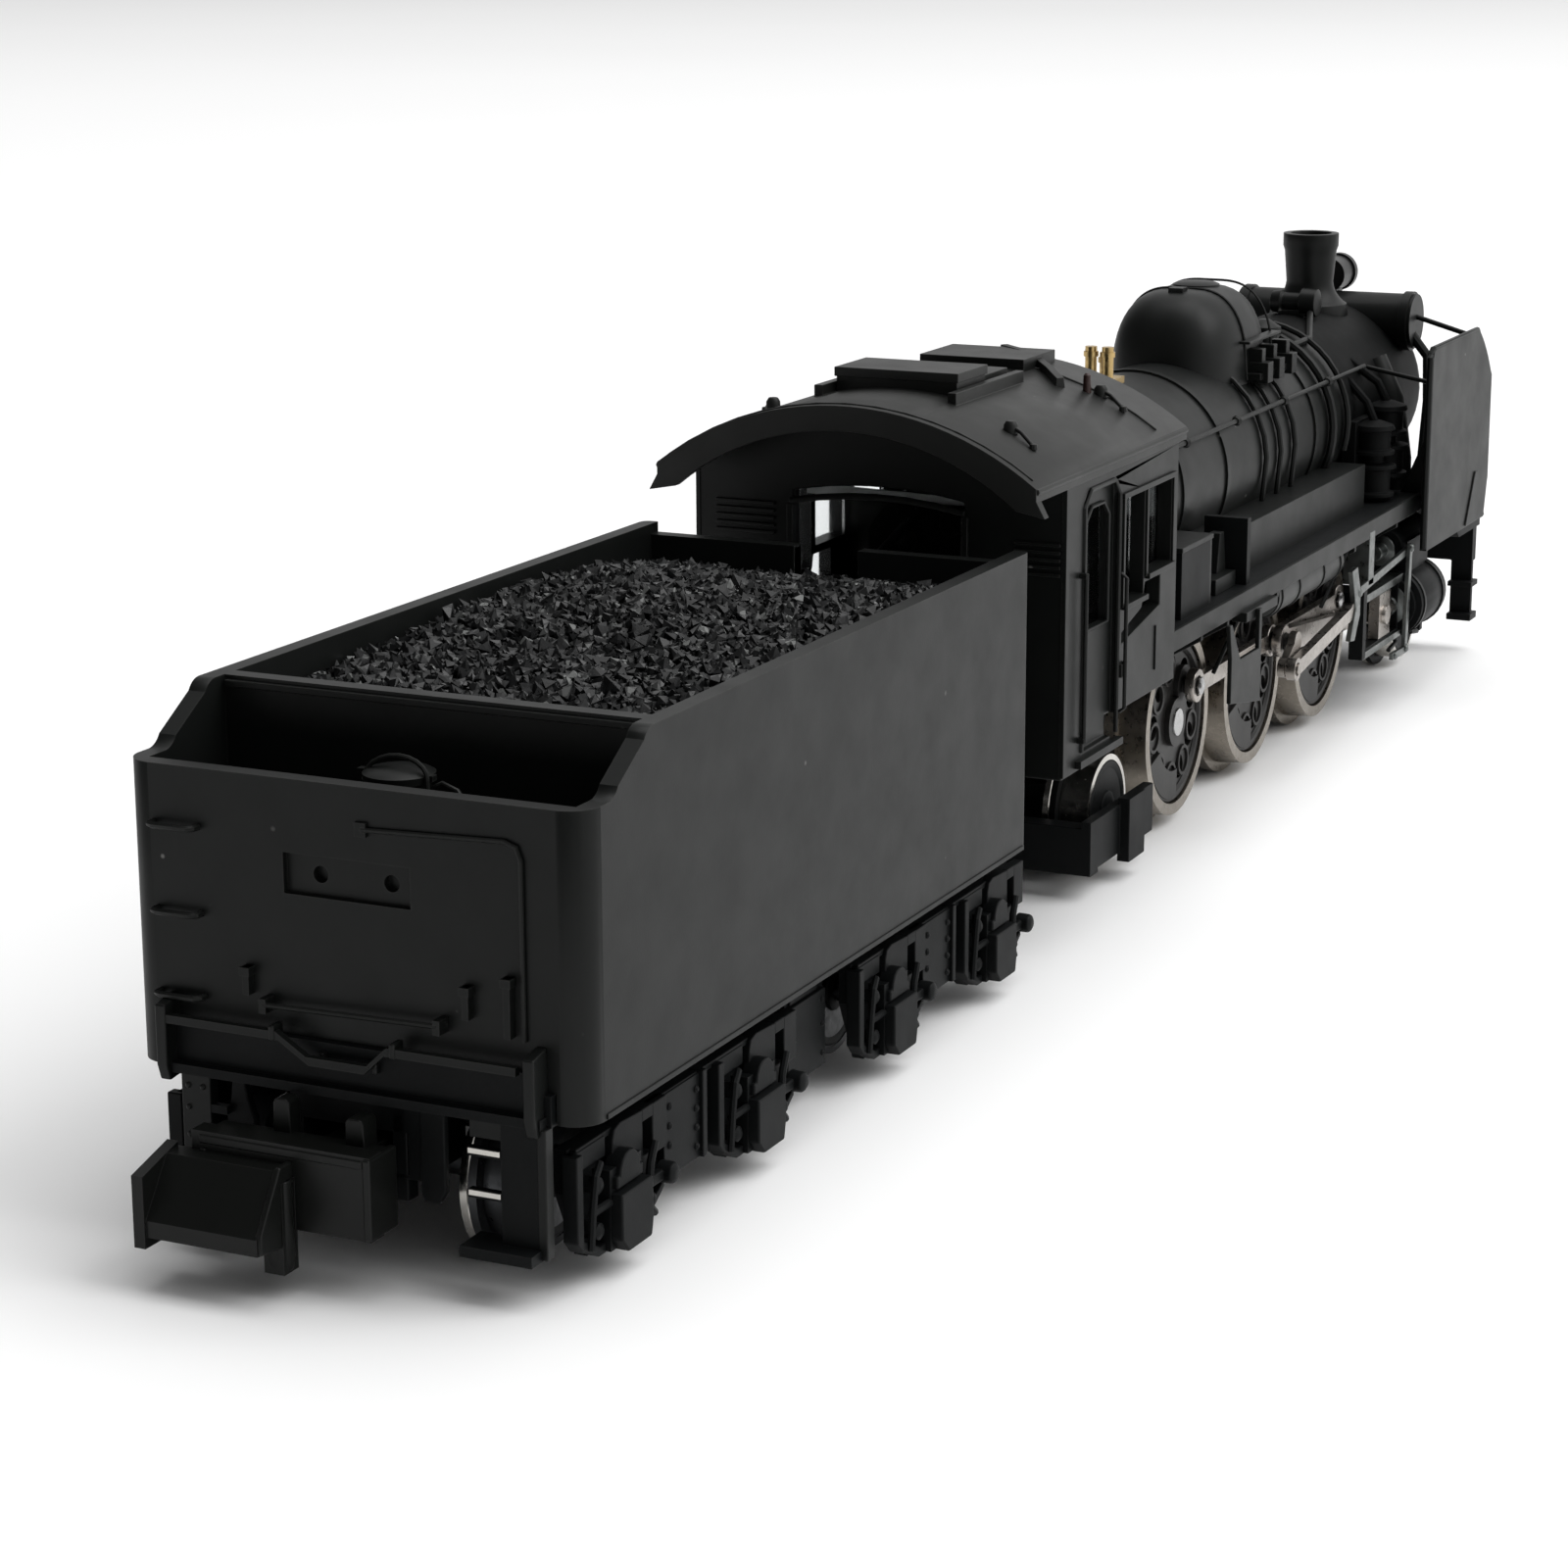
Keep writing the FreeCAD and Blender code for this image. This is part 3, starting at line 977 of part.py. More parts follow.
def make_driver(name, x):
    """Driving wheelset: axle with two pierced centres, crank bosses and pins, and separate tyres."""
    rim = "driver_radius - tyre_thickness"
    pieces = [cylinder(f"{name}_axle", "y", "axle_radius", ("-wheel_outer", "wheel_outer"), ("0", "0"))]
    pin_end = "outer_rod_y + 0.1" if name == "middle" else "main_rod_y - 0.1"
    for side, sign in (("right", -1), ("left", 1)):
        def span(inner, outer):
            return (f"-({outer})", f"-({inner})") if sign < 0 else (inner, outer)
        pin = crank_offset(side)
        pieces += [
            cylinder(f"{name}_centre_{side}", "y", rim, span("wheel_inner + 0.2", "wheel_outer - 0.3"),
                     ("0", "0")),
            cylinder(f"{name}_hub_{side}", "y", "1.25", span("wheel_inner + 0.1", "wheel_outer"),
                     ("0", "0")),
            cylinder(f"{name}_boss_{side}", "y", "1.0", span("wheel_inner + 0.5", "wheel_outer"), pin),
            cylinder(f"{name}_pin_{side}", "y", "crank_pin_radius", span("wheel_outer - 0.2", pin_end), pin),
        ]
    holes = []
    first = 15
    for index in range(9):
        turn = first + 40 * index
        holes.append(cylinder(f"{name}_hole_{index}", "y", "0.62", ("-wheel_outer - 1", "wheel_outer + 1"),
                              (f"2.85 * cos({turn})", f"2.85 * sin({turn})")))
    pins = fuse(f"{name}_pins_again",
                *[piece for piece in pieces if "pin" in piece.Name or "boss" in piece.Name])
    pierced = cut(f"{name}_pierced", fuse(f"{name}_blank", *pieces), *holes)
    driver = fuse(f"{name}_driver_axle", pierced, pins)
    node(f"{name}_driver_axle", place(driver, x, "0", "driver_z"))
    tread, flange = "driver_radius", "driver_radius + flange_depth"
    tyre = turned(f"{name}_tyre", "YZ_Plane", "H_Axis", [
        ("-wheel_outer", rim), ("-wheel_inner", rim), ("-wheel_inner", flange),
        ("-wheel_inner - flange_width", flange), ("-wheel_inner - flange_width", tread),
        ("-wheel_outer", f"{tread} - 0.08"),
    ])
    tyres = both_sides(f"{name}_driver_tyres", tyre)
    node(f"{name}_driver_tyres", place(tyres, x, "0", "driver_z"))


def side_span(side, inner, outer):
    return (f"-({outer})", f"-({inner})") if side == "right" else (inner, outer)


def make_coupling_rod(side):
    """Rod joining the three crank pins, with an eye at each."""
    name = f"coupling_rod_{side}"
    body = new_body(name)
    depth = side_span(side, "coupling_rod_y", "coupling_rod_y + rod_thickness")
    eye, bore, space = "0.85", "crank_pin_radius + running_gap", "driver_spacing"
    pad(body, f"{name}_bar", "y", [rectangle((minus(space), space), ("-0.42", "0.42"))], depth)
    for eye_name, x in (("rear", minus(space)), ("middle", "0"), ("front", space)):
        pad(body, f"{name}_eye_{eye_name}", "y", [], depth, [(eye, (x, "0"))])
    for hole_name, x in (("rear", minus(space)), ("middle", "0"), ("front", space)):
        pocket(body, f"{name}_bore_{hole_name}", "y", [], depth, [(bore, (x, "0"))])
    pin = crank_offset(side)
    node(name, place(body, f"middle_driver_x + {pin[0]}", "0", f"driver_z + {pin[1]}"))


def make_tapered_rod(name, side, start_y, length, rise, eyes, start):
    """Fluted bar between two eyes; only the first eye is bored."""
    body = new_body(name)
    depth = side_span(side, start_y, f"{start_y} + rod_thickness")
    pad(body, f"{name}_bar", "y", [[("0", f"0.2 - {eyes[0]}"), (length, f"{rise} + 0.15 - {eyes[1]}"),
                                    (length, f"{rise} - 0.15 + {eyes[1]}"), ("0", f"{eyes[0]} - 0.2")]],
        depth)
    pad(body, f"{name}_big_eye", "y", [], depth, [(eyes[0], ("0", "0"))])
    pad(body, f"{name}_small_eye", "y", [], depth, [(eyes[1], (length, rise))])
    pocket(body, f"{name}_bore", "y", [], depth, [(eyes[2], ("0", "0"))])
    node(name, place(body, start[0], "0", start[1]))


def main_rod_reach(side):
    """Horizontal distance and rise from the crank pin to the crosshead at rest."""
    rise = f"(piston_z - driver_z - crank_throw * sin(crank_angle_{side}))"
    return f"sqrt(main_rod_length * main_rod_length - {rise} * {rise})", rise


def make_rods(side):
    pin = crank_offset(side)
    pin_x, pin_z = f"middle_driver_x + {pin[0]}", f"driver_z + {pin[1]}"
    length, rise = main_rod_reach(side)
    make_coupling_rod(side)
    make_tapered_rod(f"main_rod_{side}", side, "main_rod_y", length, rise,
                     ("0.85", "0.6", "crank_pin_radius + running_gap"), (pin_x, pin_z))
    crank_x, crank_z = return_crank_end(side)
    make_tapered_rod(f"eccentric_rod_{side}", side, "eccentric_rod_y", "eccentric_length", "1.2",
                     ("0.6", "0.5", "0.3 + running_gap"), (crank_x, crank_z))
    head_x = f"middle_driver_x + {pin[0]} + {length}"
    deep = side_span(side, "outer_rod_y + 0.05", "outer_rod_y + 0.65")
    head = fuse(
        f"crosshead_{side}",
        box(f"slipper_{side}", (f"{head_x} - 1.1", f"{head_x} + 1.1"), deep,
            ("piston_z - 1.25", "piston_z + 1.3")),
        cylinder(f"wrist_boss_{side}", "y", "0.55", side_span(side, "outer_rod_y + 0.1",
                                                              "outer_rod_y + 0.85"),
                 (head_x, "piston_z")),
        cylinder(f"piston_rod_{side}", "x", "0.28", (f"{head_x} + 0.9", f"{head_x} + 6.4"),
                 (side_span(side, "outer_rod_y + 0.35", "outer_rod_y + 0.35")[0], "piston_z")))
    node(f"crosshead_{side}", head)


def return_crank_end(side):
    """The return crank's outer pin, a quarter turn ahead of the crank pin."""
    angle = f"crank_angle_{side} + 80"
    return (f"middle_driver_x + eccentric_throw * cos({angle})",
            f"driver_z + eccentric_throw * sin({angle})")


def make_return_cranks():
    cranks = []
    for side in ("right", "left"):
        pin = crank_offset(side)
        pin_at = (f"middle_driver_x + {pin[0]}", f"driver_z + {pin[1]}")
        end_at = return_crank_end(side)
        depth = side_span(side, "outer_rod_y + 0.1", "outer_rod_y + 0.5")
        arm = DOC.addObject("Part::Box", f"return_arm_{side}")
        arm.setExpression("Width", bound("0.4"))
        arm.setExpression("Height", bound("0.7"))
        reach = VEC(number(end_at[0]) - number(pin_at[0]), 0, number(end_at[1]) - number(pin_at[1]))
        arm.Length = reach.Length
        turn = FreeCAD.Rotation(VEC(1, 0, 0), reach)
        arm.Placement = FreeCAD.Placement(
            VEC(number(pin_at[0]), number(depth[0]), number(pin_at[1])) - turn.multVec(VEC(0, 0, 0.35)),
            turn)
        cranks.append(fuse(
            f"return_crank_{side}", arm,
            cylinder(f"return_eye_{side}", "y", "0.6", depth, pin_at),
            cylinder(f"return_end_{side}", "y", "0.5", depth, end_at),
            cylinder(f"return_pin_{side}", "y", "0.3",
                     side_span(side, "outer_rod_y + 0.4", "eccentric_rod_y + rod_thickness + 0.1"), end_at)))
    node("return_cranks", group("return_cranks", *cranks))


def make_cylinder_block():
    """Both cylinders with valve chests on one cross member, slide bars and motion brackets."""
    rear, front = "cylinder_x - cylinder_length / 2", "cylinder_x + cylinder_length / 2"
    pieces = [box("cross_member", ("cylinder_x - 2", "cylinder_x + 2"), ("-6.4", "6.4"), ("7.3", "10.7"))]
    tools = []
    for side, sign in (("right", "-"), ("left", "")):
        centre = (f"{sign}cylinder_y", "piston_z")
        chest = (f"{sign}6.9", "8.8")
        bar_y = side_span(side, "outer_rod_y + 0.05", "outer_rod_y + 0.65")
        pieces += [
            cylinder(f"cylinder_{side}", "x", "cylinder_radius", (rear, front), centre),
            cylinder(f"front_cover_{side}", "x", "cylinder_radius - 0.35", (front, f"{front} + 0.3"),
                     centre),
            cylinder(f"rear_cover_{side}", "x", "cylinder_radius - 0.35", (f"{rear} - 0.3", rear), centre),
            cylinder(f"chest_{side}", "x", "1.25", (f"{rear} - 0.5", f"{front} + 0.5"), chest),
            box(f"chest_web_{side}", (f"{rear} + 0.4", f"{front} - 0.4"), side_span(side, "6.0", "8.2"),
                ("6.4", "9.2")),
            box(f"upper_bar_{side}", ("slide_bar_rear_x", rear), bar_y,
                ("piston_z + 1.35", "piston_z + 1.75")),
            box(f"lower_bar_{side}", ("slide_bar_rear_x", rear), bar_y,
                ("piston_z - 1.7", "piston_z - 1.3")),
            box(f"bar_bridge_{side}", (f"{rear} - 0.6", rear), bar_y, ("piston_z - 1.7", "piston_z + 1.75")),
            box(f"motion_bracket_{side}", ("slide_bar_rear_x - 0.4", "slide_bar_rear_x + 0.2"),
                side_span(side, "outer_rod_y + 0.05", "outer_rod_y + 0.85"), ("piston_z - 1.7", "board_z")),
        ]
        tools.append(cylinder(f"piston_bore_{side}", "x", "0.34", (f"{rear} - 1.5", f"{front} - 0.4"),
                              (side_span(side, "outer_rod_y + 0.35", "outer_rod_y + 0.35")[0], "piston_z")))
    node("cylinder_block", cut("cylinder_block", fuse("cylinder_blank", *pieces), *tools))


# ---------------------------------------------------------------- trucks and front end

def make_truck(name, axle_x, pivot_x, outside_frames):
    """Single-axle swinging truck: spine from its pivot eye to the axle hub."""
    sign = 1 if number(axle_x) < number(pivot_x) else -1
    spine_x = (axle_x, pivot_x) if sign > 0 else (pivot_x, axle_x)
    pieces = [
        box(f"{name}_spine", spine_x, ("-1.3", "1.3"), ("2.5", "3.4")),
        cylinder(f"{name}_eye", "z", "1.3", ("2.5", "3.4"), (pivot_x, "0")),
        box(f"{name}_hub", (f"{axle_x} - 1.2", f"{axle_x} + 1.2"), ("-3.4", "3.4"), ("2.2", "4.4")),
    ]
    if outside_frames:
        pieces.append(box(f"{name}_stem", (f"{axle_x} - 5.0", axle_x), ("-1.3", "1.3"), ("2.5", "3.4")))
        pieces.append(box(f"{name}_cross", (f"{axle_x} - 5.0", f"{axle_x} - 3.9"), ("-6.8", "6.8"),
                          ("1.2", "3.5")))
        for side in ("right", "left"):
            pieces.append(box(f"{name}_side_{side}", (f"{axle_x} - 5.0", f"{axle_x} + 3.6"),
                              side_span(side, "6.3", "6.8"), ("1.4", "3.8")))
            pieces.append(box(f"{name}_box_{side}", (f"{axle_x} - 1.1", f"{axle_x} + 1.1"),
                              side_span(side, "6.7", "7.3"), ("1.0", "4.1")))
    tools = [
        cylinder(f"{name}_pivot_bore", "z", "0.6 + running_gap", ("2", "4"), (pivot_x, "0")),
        cylinder(f"{name}_axle_bore", "y", "small_axle_radius + 0.2 + running_gap", ("-4", "4"),
                 (axle_x, "small_z")),
    ]
    node(name, cut(name, fuse(f"{name}_blank", *pieces), *tools))


def make_front_end():
    """Front beam with buffer plate, hanging steps, rail guards, and the dummy hook coupler."""
    face = "front_deck_x"
    low = "front_deck_z - board_thickness"
    pieces = [box("beam_plate", (f"{face} - 0.7", f"{face} + 0.1"), ("-8.2", "8.2"), (f"{low} - 2.2", low))]
    for side in ("right", "left"):
        pieces += [
            box(f"step_hanger_{side}", (f"{face} - 0.7", f"{face} - 0.3"), side_span(side, "6.9", "8.2"),
                ("2.2", f"{low} - 2.0")),
            box(f"step_low_{side}", (f"{face} - 1.4", f"{face} + 0.1"), side_span(side, "6.9", "8.4"),
                ("1.9", "2.3")),
            box(f"step_high_{side}", (f"{face} - 1.4", f"{face} + 0.1"), side_span(side, "6.9", "8.4"),
                ("4.0", "4.3")),
            box(f"rail_guard_{side}", (f"{face} - 0.7", f"{face} - 0.2"), side_span(side, "4.3", "5.1"),
                ("0.9", f"{low} - 2.0")),
        ]
    node("pilot_beam", fuse("pilot_beam", *pieces))
    coupler = new_body("front_coupler")
    pad(coupler, "hook_plate", "y", [[
        (f"{face} + 0.1", "coupler_z - 1.0"), ("front_end_x - 0.4", "coupler_z - 1.0"),
        ("front_end_x", "coupler_z + 0.4"), ("front_end_x - 0.5", "coupler_z + 1.2"),
        (f"{face} + 0.1", "coupler_z + 1.2"),
    ]], ("-0.9", "0.9"))
    pad(coupler, "hook_base", "x", [rectangle(("-1.6", "1.6"), ("coupler_z + 0.1", "coupler_z + 2.4"))],
        (f"{face} + 0.1", f"{face} + 0.5"))
    node("front_coupler", coupler)


def make_light_board():
    node("light_board", box("light_board", ("30.0", "50.0"), ("-2.0", "2.0"),
                            ("boiler_z + 3.6", "boiler_z + 4.0")))


# ---------------------------------------------------------------- the whole train

make_tender_body()
make_coal_load()
make_tender_underframe()
make_tender_inside()
for bogie_end in ("rear", "front"):
    make_bogie_frame(bogie_end)
    for axle, step in (("rear", "-"), ("front", "+")):
        make_small_wheelset(f"{bogie_end}_bogie_{axle}_wheelset",
                            f"bogie_{bogie_end}_x {step} bogie_half_base",
                            "bogie_half_width - 0.35")
make_rear_coupler()
make_coupler_spring()
make_drawbar()

make_boiler_shell()
make_smokebox_door()
make_chimney()
make_steam_dome()
make_safety_valves()
make_feedwater_heater()
make_headlight()
make_running_boards()
make_smoke_deflectors()
make_cab_shell()
make_cab_roof()
make_cab_inside()

make_chassis_block()
make_keeper_plate()
make_motor()
make_worm()
make_gear("idler_gear", "idler_teeth", None, "middle_driver_x", "idler_z", 9)
make_gear("driver_gear", "driver_teeth", "axle_radius", "middle_driver_x", "driver_z", 0)
for driver_name, driver_x in DRIVERS.items():
    make_driver(driver_name, driver_x)
for rod_side in ("right", "left"):
    make_rods(rod_side)
make_return_cranks()
make_cylinder_block()

make_truck("pony_truck_frame", "pony_x", "pony_pivot_x", False)
make_truck("trailing_truck_frame", "trailing_x", "trailing_pivot_x", True)
make_small_wheelset("pony_wheelset", "pony_x", "wheel_outer + 0.2")
make_small_wheelset("trailing_wheelset", "trailing_x", "wheel_outer + 0.2")
make_front_end()
make_light_board()

DOC.recompute()

faults = [item.Name for item in DOC.Objects if {"Invalid", "Error"} & set(item.State)]
if faults:
    raise RuntimeError(f"failed objects: {faults}")
for name, item in NODES.items():
    if item.Shape.isNull() or not item.Shape.isValid():
        raise RuntimeError(f"{name} has no valid shape")

os.makedirs("parts", exist_ok=True)
for name, item in NODES.items():
    item.Shape.exportStep(f"parts/{name}.step")
print(f"{len(NODES)} nodes written")
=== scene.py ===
import json
import math
import random

import bmesh
import bpy
from mathutils import Matrix, Vector


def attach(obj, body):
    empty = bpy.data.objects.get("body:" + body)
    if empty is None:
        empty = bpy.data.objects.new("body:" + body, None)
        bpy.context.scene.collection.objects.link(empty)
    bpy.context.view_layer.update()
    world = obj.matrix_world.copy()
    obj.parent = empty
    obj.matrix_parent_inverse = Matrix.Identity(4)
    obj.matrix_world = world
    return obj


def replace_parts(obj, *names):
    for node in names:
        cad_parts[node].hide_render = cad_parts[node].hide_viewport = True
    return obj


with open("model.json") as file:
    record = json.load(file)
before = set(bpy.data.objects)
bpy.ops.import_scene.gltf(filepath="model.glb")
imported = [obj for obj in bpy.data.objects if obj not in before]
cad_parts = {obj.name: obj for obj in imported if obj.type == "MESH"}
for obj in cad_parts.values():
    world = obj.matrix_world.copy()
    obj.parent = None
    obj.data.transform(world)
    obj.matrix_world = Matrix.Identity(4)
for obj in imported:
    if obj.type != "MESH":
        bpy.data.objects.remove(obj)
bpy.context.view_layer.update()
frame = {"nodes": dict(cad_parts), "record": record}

# Sizes below are in millimetres, in the row frame: +X front of the locomotive, +Y its left, +Z up.
MM = 0.001
TENDER_REAR_X = -56.5
CAB_REAR_X, CAB_SIDE_Y = -12.3, -8.8
BOILER_Z = 16.4
BOGIES = {"rear": -47.3, "front": -24.0}
BOGIE_HALF_BASE = 5.4
SMALL_WHEEL_Z = 3.2
DRIVERS = {"rear_driver": 12.2, "middle_driver": 24.2, "front_driver": 36.2}
DRIVER_Z = 5.3
CRANK_THROW = 2.0
# (y, z) centres of things that lie along the locomotive's right side
CYLINDER, VALVE_CHEST, RESERVOIR = (-7.35, 5.6), (-6.9, 8.8), (-6.9, 10.2)
random.seed(11)


# ---- materials

def grey(value):
    return (value, value, value)


EDGE_WEAR_AND_HIGHLIGHT_AMOUNT = (0.175, 0.35)  # how far edges go towards their lighter colour, as wear and as a painted edge highlight
EDGE_WIDTH = 0.08
GLOSS_SPREAD = 0.04
DUST_COLOUR = (0.5, 0.5, 0.48)


def new_material(name):
    """A material, its tree, its shader and the object coordinates its patterns start from."""
    material = bpy.data.materials.new(name)
    material.use_nodes = True
    tree = material.node_tree
    place = tree.nodes.new("ShaderNodeTexCoord").outputs["Object"]
    return material, tree, tree.nodes["Principled BSDF"], place


def add_node(tree, kind, **values):
    item = tree.nodes.new(kind)
    for key, value in values.items():
        if key in item.inputs:
            item.inputs[key].default_value = value
        else:
            setattr(item, key, value)
    return item


def noise(tree, place, scale, detail=3.0, rough=0.55):
    """Noise whose scale is in features per millimetre."""
    item = add_node(tree, "ShaderNodeTexNoise", Scale=scale / MM, Detail=detail, Roughness=rough)
    tree.links.new(place, item.inputs["Vector"])
    return item.outputs["Fac"]


def ramp(tree, source, low, high, out_low=0.0, out_high=1.0):
    item = add_node(tree, "ShaderNodeMapRange")
    for index, value in enumerate((low, high, out_low, out_high), start=1):
        item.inputs[index].default_value = value
    tree.links.new(source, item.inputs[0])
    return item.outputs[0]


def mix_colour(tree, factor, first, second):
    """first and second are colours or sockets; factor is a socket."""
    item = tree.nodes.new("ShaderNodeMix")
    item.data_type = "RGBA"
    tree.links.new(factor, item.inputs[0])
    for socket, value in ((item.inputs[6], first), (item.inputs[7], second)):
        if isinstance(value, bpy.types.NodeSocket):
            tree.links.new(value, socket)
        else:
            socket.default_value = (*value, 1)
    return item.outputs[2]


def times(tree, first, second):
    """The product of a socket and another socket or number."""
    item = add_node(tree, "ShaderNodeMath", operation="MULTIPLY")
    tree.links.new(first, item.inputs[0])
    if isinstance(second, bpy.types.NodeSocket):
        tree.links.new(second, item.inputs[1])
    else:
        item.inputs[1].default_value = second
    return item.outputs[0]


def set_bump(tree, shader, height, strength, distance):
    bump = add_node(tree, "ShaderNodeBump", Strength=strength, Distance=distance * MM)
    tree.links.new(height, bump.inputs["Height"])
    tree.links.new(bump.outputs[0], shader.inputs["Normal"])


def edge_mask(tree):
    """1 along outer edges, from how far the rounded normal leans off the true one."""
    rounded = add_node(tree, "ShaderNodeBevel", Radius=EDGE_WIDTH * MM, samples=4)
    geometry = tree.nodes.new("ShaderNodeNewGeometry")
    dot = add_node(tree, "ShaderNodeVectorMath", operation="DOT_PRODUCT")
    tree.links.new(rounded.outputs[0], dot.inputs[0])
    tree.links.new(geometry.outputs["Normal"], dot.inputs[1])
    return ramp(tree, dot.outputs["Value"], 1.0, 0.88)


def finish_of(name, colour, rough, metallic=0.0, specular=0.3, variation=0.1, grain=(9.0, 0.12), edge_wear_and_highlight=None,
              dust=0.0):
    """Plastic or metal: cloudy colour, uneven gloss, moulded grain, edges lightened partly as wear and
    partly as a painted highlight, and a few dust specks.
    """
    material, tree, shader, place = new_material(name)
    cloud = noise(tree, place, 0.12, 4.0)
    fine = noise(tree, place, 2.6, 3.0)
    dark = tuple(channel * (1 - variation) for channel in colour)
    light = tuple(min(channel * (1 + variation), 1) for channel in colour)
    tone = mix_colour(tree, ramp(tree, cloud, 0.3, 0.7), dark, light)
    tone = mix_colour(tree, ramp(tree, fine, 0.35, 0.65, 0.0, 0.35), tone, light)
    # edges go towards a lighter colour: partly wear, partly a painted highlight along rims and corners
    if edge_wear_and_highlight:
        edges = times(tree, edge_mask(tree), ramp(tree, fine, 0.3, 0.7, *EDGE_WEAR_AND_HIGHLIGHT_AMOUNT))
        tone = mix_colour(tree, edges, tone, edge_wear_and_highlight)
    if dust:
        cells = add_node(tree, "ShaderNodeTexVoronoi", Scale=0.55 / MM)
        tree.links.new(place, cells.inputs["Vector"])
        specks = ramp(tree, cells.outputs["Distance"], 0.03, 0.07, 1.0, 0.0)
        sparse = ramp(tree, noise(tree, place, 0.35, 1.0), 0.56, 0.66)
        tone = mix_colour(tree, times(tree, times(tree, specks, sparse), dust), tone, DUST_COLOUR)
    tree.links.new(tone, shader.inputs["Base Color"])
    gloss = noise(tree, place, 0.5, 5.0)
    tree.links.new(ramp(tree, gloss, 0.3, 0.7, rough - GLOSS_SPREAD, rough + GLOSS_SPREAD),
                   shader.inputs["Roughness"])
    set_bump(tree, shader, noise(tree, place, grain[0], 3.0, 0.6), grain[1], 0.02)
    shader.inputs["Metallic"].default_value = metallic
    shader.inputs["Specular IOR Level"].default_value = specular
    return material


def turned_metal(name, colour, rough, axis):
    """Turned metal: fine rings about an axis, with tarnish."""
    material, tree, shader, place = new_material(name)
    tarnish = noise(tree, place, 0.5, 5.0)
    smears = noise(tree, place, 3.0, 4.0)
    dull = tuple(channel * 0.75 for channel in colour)
    tone = mix_colour(tree, ramp(tree, tarnish, 0.35, 0.68), colour, dull)
    tone = mix_colour(tree, ramp(tree, smears, 0.5, 0.75, 0.0, 0.4), tone, dull)
    tree.links.new(tone, shader.inputs["Base Color"])
    tree.links.new(ramp(tree, smears, 0.3, 0.7, rough * 0.75, rough * 1.4), shader.inputs["Roughness"])
    stretch = add_node(tree, "ShaderNodeMapping")
    stretch.inputs["Scale"].default_value = [0.15 if letter != axis else 1.0 for letter in "xyz"]
    tree.links.new(place, stretch.inputs["Vector"])
    set_bump(tree, shader, noise(tree, stretch.outputs[0], 7.0, 2.0), 0.12, 0.01)
    shader.inputs["Metallic"].default_value = 1.0
    return material


def coal_material():
    """Crushed black grains: each lump its own tone, with glossy faces here and there, and painted glints
    where the lightest few lumps get a light grey base colour.
    """
    material, tree, shader, place = new_material("coal grains")
    cells = add_node(tree, "ShaderNodeTexVoronoi", Scale=3.0 / MM)
    tree.links.new(place, cells.inputs["Vector"])
    shade = tree.nodes.new("ShaderNodeSeparateColor")
    tree.links.new(cells.outputs["Color"], shade.inputs[0])
    tone = mix_colour(tree, shade.outputs[0], (0.0015, 0.0016, 0.0018), (0.011, 0.0115, 0.012))
    # painted glints: the few lumps with the highest cell value get a light grey base colour in place of a
    # real reflection
    painted_glint = ramp(tree, shade.outputs[2], 0.93, 1.0)
    tree.links.new(mix_colour(tree, painted_glint, tone, (0.17, 0.175, 0.17)), shader.inputs["Base Color"])
    tree.links.new(ramp(tree, shade.outputs[1], 0.6, 0.95, 0.5, 0.05), shader.inputs["Roughness"])
    set_bump(tree, shader, noise(tree, place, 6.0, 4.0), 0.35, 0.03)
    shader.inputs["Specular IOR Level"].default_value = 0.27
    return material


def glazing_material():
    material, tree, shader, place = new_material("clear glazing")
    smears = noise(tree, place, 0.9, 3.0)
    tree.links.new(mix_colour(tree, smears, (0.8, 0.83, 0.84), (0.9, 0.92, 0.92)),
                   shader.inputs["Base Color"])
    tree.links.new(ramp(tree, smears, 0.3, 0.7, 0.04, 0.14), shader.inputs["Roughness"])
    shader.inputs["Transmission Weight"].default_value = 1.0
    shader.inputs["IOR"].default_value = 1.3
    return material


SATIN = finish_of("satin black plastic", (0.0052, 0.0059, 0.0055), 0.42, specular=0.17,
                  edge_wear_and_highlight=(0.045, 0.045, 0.042), dust=0.4)
ROOF = finish_of("matt black roof plastic", (0.008, 0.0085, 0.0078), 0.44, specular=0.235,
                 edge_wear_and_highlight=(0.05, 0.05, 0.047), dust=0.3)
MATT = finish_of("matt black plastic", (0.004, 0.0046, 0.0048), 0.5, specular=0.1, grain=(12.0, 0.2),
                 edge_wear_and_highlight=grey(0.03))
MATT_LIGHT = finish_of("lighter reservoir plastic", (0.02, 0.021, 0.02), 0.42, specular=0.25, edge_wear_and_highlight=grey(0.05))
HOOK = finish_of("black acetal", (0.005, 0.0055, 0.005), 0.36, specular=0.18, grain=(16.0, 0.08),
                 edge_wear_and_highlight=grey(0.035))
CAST = finish_of("dark cast metal", (0.05, 0.05, 0.052), 0.5, metallic=0.6, grain=(5.0, 0.3))
WHEEL = finish_of("black wheel centre", (0.012, 0.0115, 0.011), 0.42, specular=0.25, grain=(10.0, 0.2),
                  edge_wear_and_highlight=(0.08, 0.075, 0.07))
LAMP = finish_of("black lamp", (0.007, 0.007, 0.007), 0.35, specular=0.2, edge_wear_and_highlight=grey(0.04))
BOARD = finish_of("circuit board", (0.03, 0.12, 0.05), 0.35, grain=(3.0, 0.2))
ACETAL = finish_of("natural acetal", (0.7, 0.68, 0.62), 0.35, variation=0.06, grain=(8.0, 0.1))
SOOT = finish_of("sooty black plastic", (0.003, 0.0033, 0.0033), 0.6, specular=0.07, edge_wear_and_highlight=grey(0.02))
